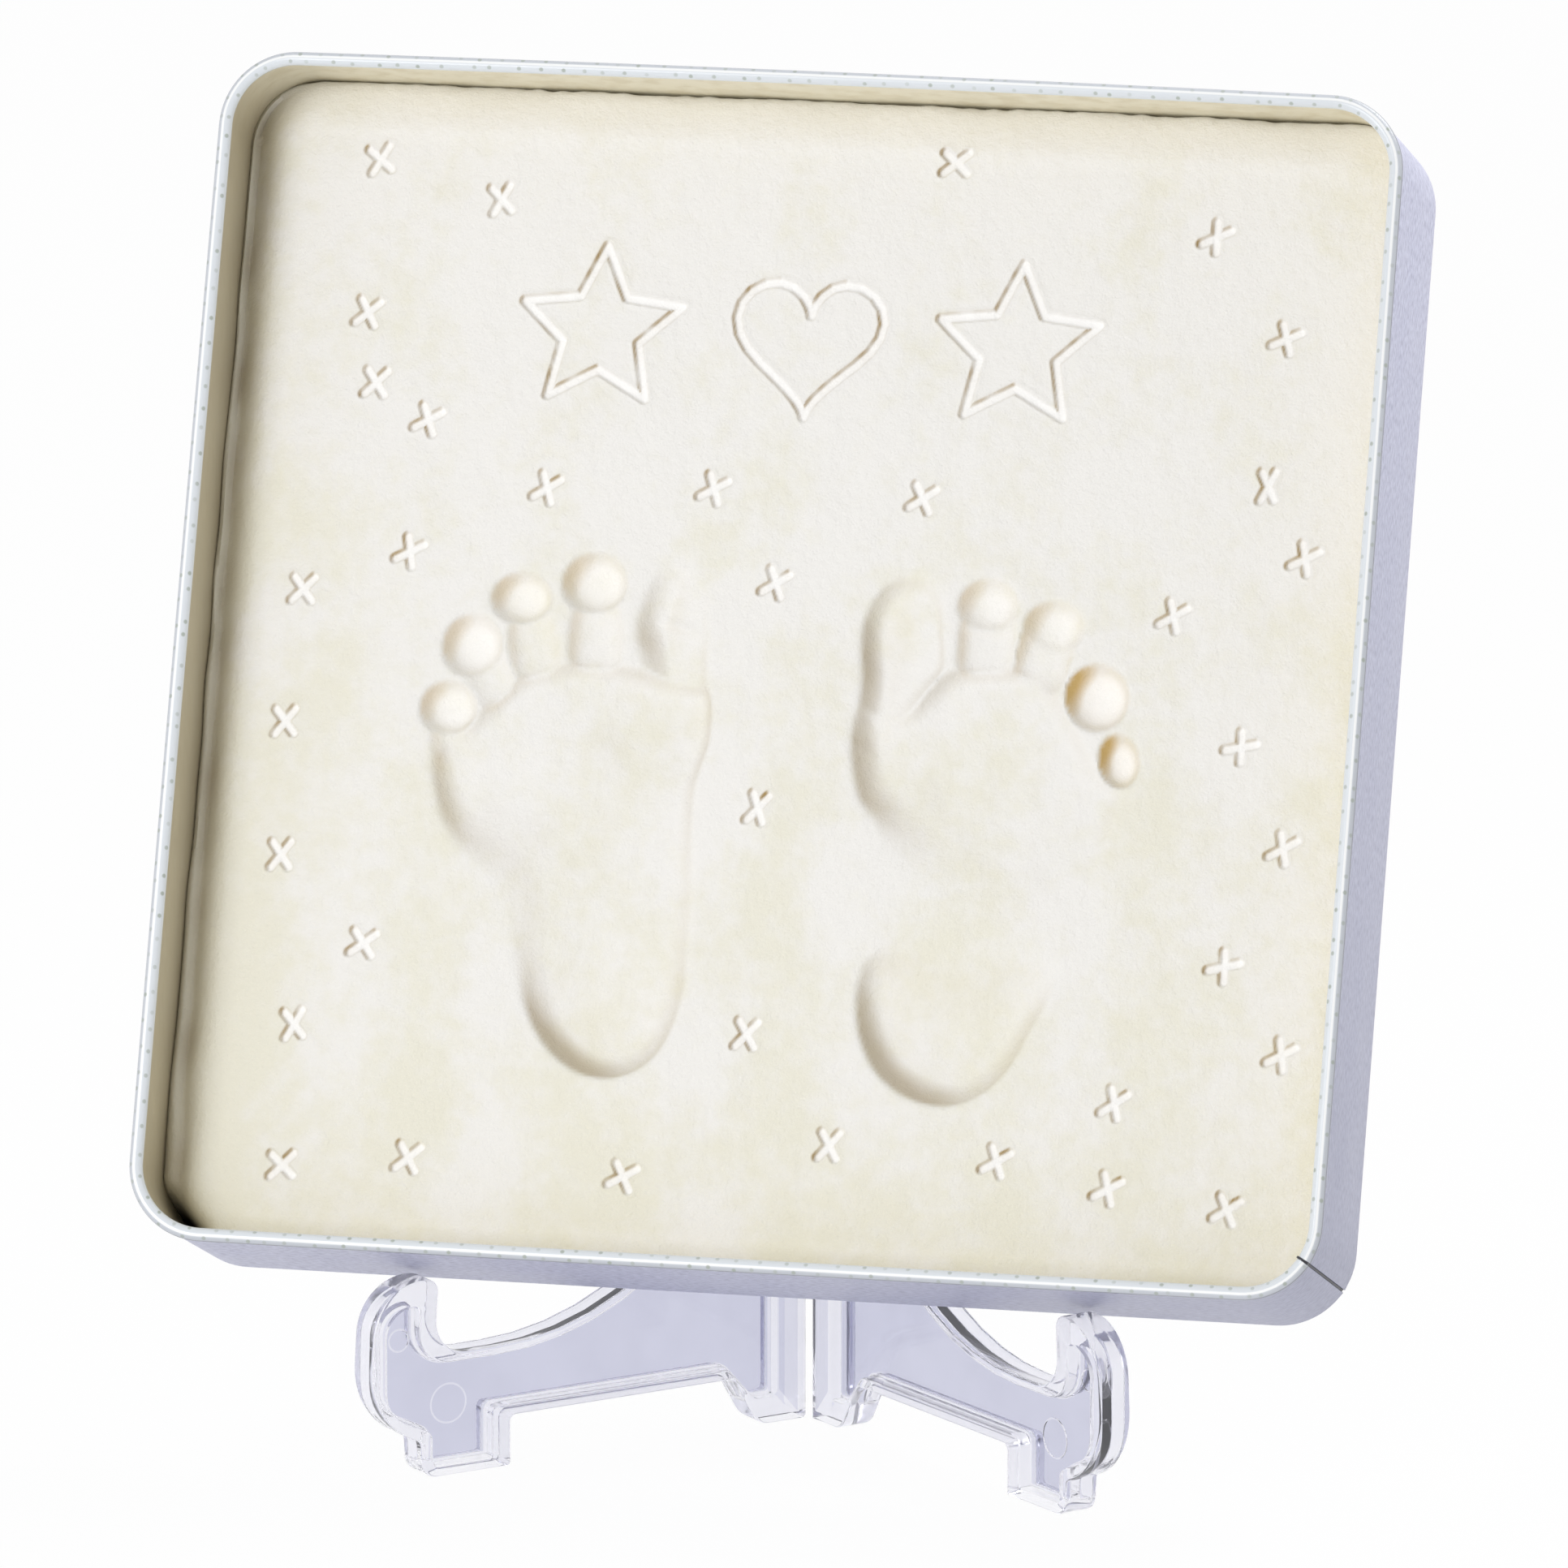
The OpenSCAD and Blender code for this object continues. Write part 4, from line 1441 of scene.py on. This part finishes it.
@dataclass
class EaselLeaf:
    """One moulded leaf of the easel with its half of the hinge, in millimetres: x from the hinge, y up."""

    side: Side
    finishes: tuple[bpy.types.Material, bpy.types.Material]
    # Plate: thickness, gap to the plane between the leaves, web, radii of its edges and of the pocket's floor
    thickness: float = 5.3
    inner_gap: float = 0.15
    web: float = 1.5
    edge_r: float = 0.35
    floor_r: float = 0.45
    # Shares of a radius at which an edge and a floor have a ring, depths of the rings between the edges, and
    # angle in degrees that one step of a corner's arc may turn
    edge_steps: tuple[float, ...] = (0.0, 0.15, 0.45, 1.0)
    floor_steps: tuple[float, ...] = (0.0, 0.5, 0.85, 1.0)
    side_levels: tuple[float, ...] = (0.9, 1.6, 2.65, 3.7, 4.4)
    turn_step: float = 7.0
    # Outline and pocket: height of the ledge, where it turns up, reach of the back part, slope in degrees
    ledge: tuple[float, float] = (17.6, 16.4)
    turn_up: tuple[float, float] = (37.4, 37.0)
    back_reach: tuple[float, float] = (20.0, 18.3)
    sweep: float = 35.0
    # Where the slanted top starts
    tip_reach: float = 3.4
    # Hinge side: its end, its rounding, lower ends and height of the hinge sets, their notches, the play
    hinge_end: float = -0.75
    hinge_r: float = 2.4
    hinge_sets: tuple = (30.0, 64.0)
    set_h: float = 20.0
    notch: float = 3.3
    notch_r: float = 0.4
    play: float = 0.3
    # Ears, pins and clips: sizes, depths of an arm's sides, how far arms and pins are sunk, rounding of ends
    ear_h: float = 4.0
    knuckle_r: float = 2.6
    pin_r: float = 1.5
    pin_points: int = 30
    clip_bore: float = 1.56
    clip_mouth: float = 2.3
    arm: tuple[float, float] = (0.45, 2.3)
    arm_sunk: float = 0.1
    pin_sunk: float = 0.4
    end_r: float = 0.25
    # Where the tin's back leans: height of its foot, distance of the foot ahead of the hinge, lean in degrees
    foot_z: float = 26.0
    hinge_back: float = 30.35
    lean: float = 22.1
    # Ejector marks: place and radius, then how far in and how high each ring of the ridge is
    marks: tuple = ((66.0, 20.2, 1.75), (58.0, 10.0, 3.0))
    ridge: tuple = ((0, 0), (0.1, 0.09), (0.2, 0.09), (0.3, 0))
    # Width of the tinted strip beside the hinge, and the height at which it starts
    stile_w: float = 5.0
    stile_foot: float = 4.0

    WEB: ClassVar[int] = 1

    def __post_init__(self) -> None:
        """Reads the hinge's place and the leaf's opening from the frame."""
        joint = next(j for j in frame["record"]["behaviour"]["joints"] if j["name"] == "stand_fold")
        self.hinge = np.array(joint["pos_m"])
        self.half_open = math.radians(joint["range_deg"][1] / 2)

    def rest_height(self, reach: float) -> float:
        """Height at which the tin's back passes a distance from the hinge."""
        ahead = self.hinge_back - reach * math.cos(self.half_open)
        return self.foot_z + ahead / math.tan(math.radians(self.lean))

    def bend(self, kind: int) -> float:
        """Height at which the slope meets the back part, for the outline (0) or the pocket (1)."""
        run = self.turn_up[kind] - self.back_reach[kind]
        return self.ledge[kind] + run * math.tan(math.radians(self.sweep))

    def outline(self) -> Array:
        """Side view of the leaf with the notches of the hinge.

        Returns:
            Points of the outline, anticlockwise.
        """
        top, ledge, back = self.rest_height(self.tip_reach), self.ledge[0], self.back_reach[0]
        corners = [
            (self.hinge_end, 0, 1.2), (8, 0, 3), (12.2, 7.3, 2), (48.9, 7.3, 1), (48.9, 0, 0.6),
            (63.2, 0, 2.5), (63.5, 5.4, 0.8), (71.8, 9.2, 11), (70.6, 29.3, 8), (60.4, 28.8, 1.8),
            (61.2, ledge, 5), (self.turn_up[0], ledge, 44), (back, self.bend(0), 13),
            (back, self.rest_height(back), 8), (self.tip_reach, top, 1.5), (self.hinge_end, top, 2),
        ]
        for z in reversed(self.hinge_sets):
            low, high, inner = z - self.play, z + self.set_h + self.play, self.hinge_end
            for x, y in ((inner, high), (self.notch, high), (self.notch, low), (inner, low)):
                corners.append((x, y, self.notch_r))
        return round_corners(corners, self.turn_step)

    def pocket(self) -> Array:
        """Outline of the pocket inside the flange.

        Returns:
            Points of the outline, anticlockwise.
        """
        ledge, back, inner = self.ledge[1], self.back_reach[1], 5.1
        corners = [
            (inner, 3.9, 1), (8.6, 3.9, 1.5), (13.1, 9, 2), (51.9, 9, 1), (51.9, 1.7, 0.5), (61.5, 1.7, 0.8),
            (61.5, 6.4, 1.5), (68.8, 10, 5), (68.8, 25.2, 4.2), (63.6, 25.2, 0.8), (63.6, ledge, 5),
            (self.turn_up[1], ledge, 45.2), (back, self.bend(1), 13),
            (back, self.rest_height(self.back_reach[0]) - 1, 6), (inner, self.rest_height(6.8) - 2, 1.5),
        ]
        return round_corners(corners, self.turn_step)

    def place(self, points: Array) -> Array:
        """Moves points from the leaf's frame to the open easel.

        Args:
            points: Distance from the hinge, height, and depth behind the hinge plane, in millimetres.

        Returns:
            The points in metres in the shared frame.
        """
        sign = self.side.value
        out = np.array((sign * math.sin(self.half_open), -math.cos(self.half_open), 0))
        behind = np.array((sign * math.cos(self.half_open), math.sin(self.half_open), 0))
        return self.hinge + MM * points @ np.stack((out, np.array((0, 0, 1.0)), behind))

    def plate(self, bm: Draft) -> None:
        """Adds the leaf's plate: its edge, its two faces and its pocket.

        Args:
            bm: The mesh to add to.
        """
        outline, pocket = self.outline(), self.pocket()
        edge_out, pocket_out = outward(outline), outward(pocket)
        fillet = [(self.edge_r * t, self.edge_r * (1 - math.sqrt(1 - (1 - t) ** 2))) for t in self.edge_steps]
        levels = fillet + [(t, 0.0) for t in self.side_levels]
        levels += [(self.thickness - t, inset) for t, inset in reversed(fillet)]
        loops = []
        for depth, inset in levels:
            from_face = min(depth, self.thickness - depth, self.hinge_r)
            lift = self.hinge_r - math.sqrt(self.hinge_r**2 - (self.hinge_r - from_face) ** 2)
            ring = outline - edge_out * inset
            ring[:, 0] = np.maximum(ring[:, 0], self.hinge_end + lift)
            loops.append(self.ring(bm, ring, depth))
        floor = (self.thickness - self.web) / 2
        brim = list(fillet)
        for t in self.floor_steps:
            brim.append((floor - self.floor_r * (1 - t), -self.floor_r * (1 - math.sqrt(1 - t * t))))
        near = [self.ring(bm, pocket + pocket_out * inset, depth) for depth, inset in brim]
        far = [self.ring(bm, pocket + pocket_out * inset, self.thickness - depth) for depth, inset in brim]
        for rings in (loops, near, far):
            self.bridge(bm, rings)
        for face in self.fill(bm, [loops[0], near[0]]) + self.fill(bm, [loops[-1], far[0]]):
            middle = face.calc_center_median()
            if self.reach(middle) < self.stile_w and middle.z > self.stile_foot * MM:
                face.material_index = self.WEB
        self.fill(bm, [near[-1]] + self.ejector_marks(bm, floor), self.WEB)
        self.fill(bm, [far[-1]], self.WEB)

    def reach(self, spot: Vector) -> float:
        """Distance of a spot from the hinge along the leaf, in millimetres."""
        across, ahead = (spot.x - self.hinge[0]) * self.side.value, self.hinge[1] - spot.y
        return (across * math.sin(self.half_open) + ahead * math.cos(self.half_open)) / MM

    def ring(self, bm: Draft, outline: Array, depth: float) -> Loop:
        """Adds an outline's points at one depth.

        Args:
            bm: The mesh to add to.
            outline: Points of the outline.
            depth: Depth behind the leaf's inner face.

        Returns:
            The new vertices.
        """
        depths = np.full(len(outline), self.inner_gap + depth)
        return [bm.verts.new(p) for p in self.place(np.column_stack((outline, depths)))]

    @staticmethod
    def bridge(bm: Draft, loops: list[Loop]) -> None:
        """Joins each loop to the next with quads.

        Args:
            bm: The mesh to add to.
            loops: Closed loops with as many vertices each.
        """
        for low, high in zip(loops, loops[1:]):
            count = len(low)
            for i in range(count):
                j = (i + 1) % count
                bm.faces.new((low[i], low[j], high[j], high[i]))

    @staticmethod
    def fill(bm: Draft, loops: list[Loop], finish: int = 0) -> list:
        """Fills the flat area inside the first loop and outside the others.

        Args:
            bm: The mesh to add to.
            loops: Closed loops of vertices.
            finish: Number of the finish that the area gets.

        Returns:
            The new faces.
        """
        edges = []
        for loop in loops:
            for a, b in zip(loop, loop[1:] + loop[:1]):
                edges.append(bm.edges.get((a, b)) or bm.edges.new((a, b)))
        filled = bmesh.ops.triangle_fill(bm, use_beauty=True, use_dissolve=False, edges=edges)
        faces = [part for part in filled["geom"] if isinstance(part, bmesh.types.BMFace)]
        for face in faces:
            face.material_index = finish
        return faces

    def prism(self, bm: Draft, plan: Plan, low: float, high: float) -> None:
        """Adds a prism along the hinge axis, with softened ends.

        Args:
            bm: The mesh to add to.
            plan: Outline as distance from the hinge and depth, anticlockwise.
            low: Height of its lower end.
            high: Height of its upper end.
        """
        soft = self.end_r
        outline = np.array(plan)
        normals = outward(outline)
        loops = []
        for height, inset in ((low, soft), (low + soft, 0), (high - soft, 0), (high, soft)):
            ring = outline - normals * inset
            points = np.column_stack((ring[:, 0], np.full(len(ring), height), ring[:, 1]))
            loops.append([bm.verts.new(p) for p in self.place(points)])
        self.bridge(bm, loops)
        bm.faces.new(loops[0][::-1])
        bm.faces.new(loops[-1])

    @staticmethod
    def arc(radius: float, first: float, last: float, count: int) -> Plan:
        """Points on an arc round the hinge axis, between two angles in degrees."""
        turns = np.radians(np.linspace(first, last, count))
        return [(radius * math.cos(t), radius * math.sin(t)) for t in turns]

    @staticmethod
    def angle(depth: float, radius: float) -> float:
        """Angle in degrees at which a circle round the hinge axis reaches a depth."""
        return math.degrees(math.asin(depth / radius))

    def arm_angles(self) -> tuple[float, float]:
        """Angles in degrees at which a knuckle's round leaves its arm and meets it again."""
        near, far = self.arm
        return self.angle(far, self.knuckle_r), 360 + self.angle(near, self.knuckle_r)

    def arm_ends(self) -> Plan:
        """The two points of a knuckle's arm inside the leaf."""
        return [(self.notch + self.arm_sunk, depth) for depth in self.arm]

    def keyhole(self) -> Plan:
        """Plan of a knuckle: a disc with an arm to the leaf."""
        return self.arc(self.knuckle_r, *self.arm_angles(), 36) + self.arm_ends()

    def clip(self) -> Plan:
        """Plan of a snap clip: a ring with a mouth and an arm to the leaf.

        Returns:
            Distance from the hinge and depth of each point, anticlockwise.
        """
        first, last = self.arm_angles()
        lip = self.angle(self.clip_mouth / 2, self.knuckle_r)
        jaw = self.angle(self.clip_mouth / 2, self.clip_bore)
        plan = self.arc(self.knuckle_r, first, 180 - lip, 14)
        plan += self.arc(self.clip_bore, 180 - jaw, jaw - 180, 30)
        plan += self.arc(self.knuckle_r, 180 + lip, last, 20)
        return plan + self.arm_ends()

    def knuckles(self, bm: Draft) -> None:
        """Adds the leaf's half of the hinge: ears with pins on the left leaf and clips on the right one.

        Args:
            bm: The mesh to add to.
        """
        for z in self.hinge_sets:
            low, high = z + self.ear_h, z + self.set_h - self.ear_h
            if self.side is Side.LEFT:
                self.prism(bm, self.keyhole(), z, low)
                self.prism(bm, self.keyhole(), high, z + self.set_h)
                pin = self.arc(self.pin_r, 0, 360 - 360 / self.pin_points, self.pin_points)
                self.prism(bm, pin, low - self.pin_sunk, high + self.pin_sunk)
            else:
                self.prism(bm, self.clip(), low + self.play, high - self.play)

    def ejector_marks(self, bm: Draft, floor: float) -> list[Loop]:
        """Adds the faint round ridges that the mould's ejector pins leave on the web.

        Args:
            bm: The mesh to add to.
            floor: Depth of the web below the leaf's inner face.

        Returns:
            The outer loop of each mark.
        """
        outer = []
        turns = np.radians(np.arange(0, 360, 10))
        round_it = np.column_stack((np.cos(turns), np.sin(turns)))
        for x, y, radius in self.marks:
            loops = []
            for step, rise in self.ridge:
                loops.append(self.ring(bm, np.array((x, y)) + (radius - step) * round_it, floor - rise))
            self.bridge(bm, loops)
            bm.faces.new(loops[-1]).material_index = self.WEB
            outer.append(loops[0])
        return outer

    def build(self) -> Piece:
        """Builds the leaf as one mesh object.

        Returns:
            The leaf.
        """
        bm = bmesh.new()
        self.plate(bm)
        self.knuckles(bm)
        bmesh.ops.recalc_face_normals(bm, faces=bm.faces)
        name = f"easel_leaf_{self.side.name.lower()}"
        mesh = bpy.data.meshes.new(name)
        bm.to_mesh(mesh)
        bm.free()
        mesh.shade_smooth()
        mesh.set_sharp_from_angle(angle=math.radians(40))
        leaf = bpy.data.objects.new(name, mesh)
        link(leaf)
        weights = leaf.modifiers.new("even_faces", "WEIGHTED_NORMAL")
        weights.keep_sharp = True
        for finish in self.finishes:
            leaf.data.materials.append(finish)
        return leaf

    def dress(self) -> list[Piece]:
        """Builds the leaf and sets it on its body.

        Returns:
            The new pieces.
        """
        leaf = self.build()
        word = self.side.name.lower()
        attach(leaf, f"stand_{word}")
        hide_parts(f"stand_leaf_{word}")
        return [leaf]


@dataclass
class Studio:
    """White floor, soft light and the camera, which looks at the middle of the tin's front."""

    tin: TinFrame
    # Camera: angles in degrees, distance and shifts in millimetres, focal length and frame in pixels, sensor in
    # millimetres
    azimuth: float = 12.26
    elevation: float = 13.44
    distance: float = 2381.0
    aim_right: float = 2.91
    aim_up: float = -16.32
    focal_pixels: float = 21019.0
    frame_pixels: float = 1932.0
    sensor: float = 36.0
    # Width of the floor in metres, how much of its own white the camera sees, strength of the light all round
    floor_side: float = 30.0
    floor_glow: float = 0.965
    world_light: float = 0.6
    # Height of the clay's face, which the lamps look at
    lit_height: float = 18.5
    # Lamps: name, place in the tin's frame in metres, power in watts, width in metres
    lamps: tuple = (("key", (-0.52, -0.14, 1.16), 5.7, 0.55), ("side", (0.26, 0.42, -0.03), 1.1, 0.25))

    def axes(self) -> tuple[Array, Array, Array]:
        """The camera's axes.

        Returns:
            Directions towards the camera, to its right and up.
        """
        a, e = math.radians(self.azimuth), math.radians(self.elevation)
        back = np.array((math.sin(a) * math.cos(e), -math.cos(a) * math.cos(e), math.sin(e)))
        right = np.array((math.cos(a), math.sin(a), 0))
        return back, right, np.cross(back, right)

    def camera(self) -> None:
        """Makes the camera and gives it to the scene."""
        back, right, up = self.axes()
        target = self.tin.place(np.array(((0, 0, self.tin.depth),)))[0]
        place = target + MM * (self.distance * back + self.aim_right * right + self.aim_up * up)
        data = bpy.data.cameras.new("camera")
        data.sensor_width = self.sensor
        data.lens = self.sensor * self.focal_pixels / self.frame_pixels
        data.clip_start, data.clip_end = 0.1, 100
        camera = bpy.data.objects.new("camera", data)
        turn = Matrix(np.stack((right, up, back)).T.tolist()).to_4x4()
        camera.matrix_world = Matrix.Translation(Vector(place)) @ turn
        link(camera)
        bpy.context.scene.camera = camera

    def floor(self) -> None:
        """Makes the white floor, which shows white to the camera and keeps a soft shadow."""
        half = self.floor_side / 2
        corners = np.array(((-half, -half, 0), (half, -half, 0), (half, half, 0), (-half, half, 0)))
        floor = make_piece("floor", corners, [[0, 1, 2, 3]])
        bench = Bench("floor_paper")
        bench.surface(Base_Color=tone(246, 246, 247), Roughness=0.9)
        glow = bench.add("Emission", None, Color=(1, 1, 1, 1), Strength=1.0).outputs[0]
        share = bench.times(bench.seen_directly(), self.floor_glow)
        both = bench.add("MixShader", None, Fac=share, in_1=bench.shader.outputs[0], in_2=glow)
        bench.tree.links.new(both.outputs[0], bench.tree.nodes["Material Output"].inputs["Surface"])
        floor.data.materials.append(bench.material)

    def world(self) -> None:
        """Makes the even light all round, which shows white to the camera."""
        world = bpy.data.worlds.new("studio")
        world.use_nodes = True
        bpy.context.scene.world = world
        nodes = Nodes(world.node_tree)
        level = nodes.add("MapRange", None, Value=nodes.seen_directly(), To_Min=self.world_light, To_Max=1.0)
        background = world.node_tree.nodes["Background"]
        nodes.put(background.inputs["Strength"], level.outputs[0])
        nodes.put(background.inputs["Color"], (1, 1, 1, 1))

    def lamp(self, name: str, away: tuple[float, float, float], power: float, size: float) -> None:
        """Adds a soft lamp that looks at the middle of the clay.

        Args:
            name: Name of the lamp.
            away: Its place in the tin's frame, in metres.
            power: Its power in watts.
            size: Its width in metres.
        """
        data = bpy.data.lights.new(name, "AREA")
        data.energy, data.size = power, size
        lamp = bpy.data.objects.new(name, data)
        target = Vector(self.tin.place(np.array(((0, 0, self.lit_height),)))[0])
        lamp.location = Vector(self.tin.place(np.array((away,)) / MM)[0])
        lamp.rotation_euler = (target - lamp.location).to_track_quat("-Z", "Y").to_euler()
        link(lamp)

    def build(self) -> None:
        """Sets up the whole studio."""
        self.camera()
        self.floor()
        self.world()
        for name, away, power, size in self.lamps:
            self.lamp(name, away, power, size)
        bpy.context.scene.view_settings.view_transform = "Standard"


def main() -> None:
    """Builds the studio and every piece, and logs how many faces each new piece has."""
    logging.basicConfig(level=logging.INFO, format="%(name)s: %(message)s")
    tin = TinFrame()
    Studio(tin).build()
    clear = ClearPlastic("clear_plastic", tone(247, 247, 253), tone(242, 242, 250), 0.88).make()
    web = ClearPlastic("tinted_web", tone(207, 208, 226), tone(202, 203, 221)).make()
    leaves = [EaselLeaf(side, (clear, web)) for side in (Side.LEFT, Side.RIGHT)]
    for builder in (Tin(tin), ClaySlab(tin), *leaves):
        for piece in builder.dress():
            log.info("%s: %d faces", piece.name, len(piece.data.polygons))


if __name__ == "__main__":
    main()
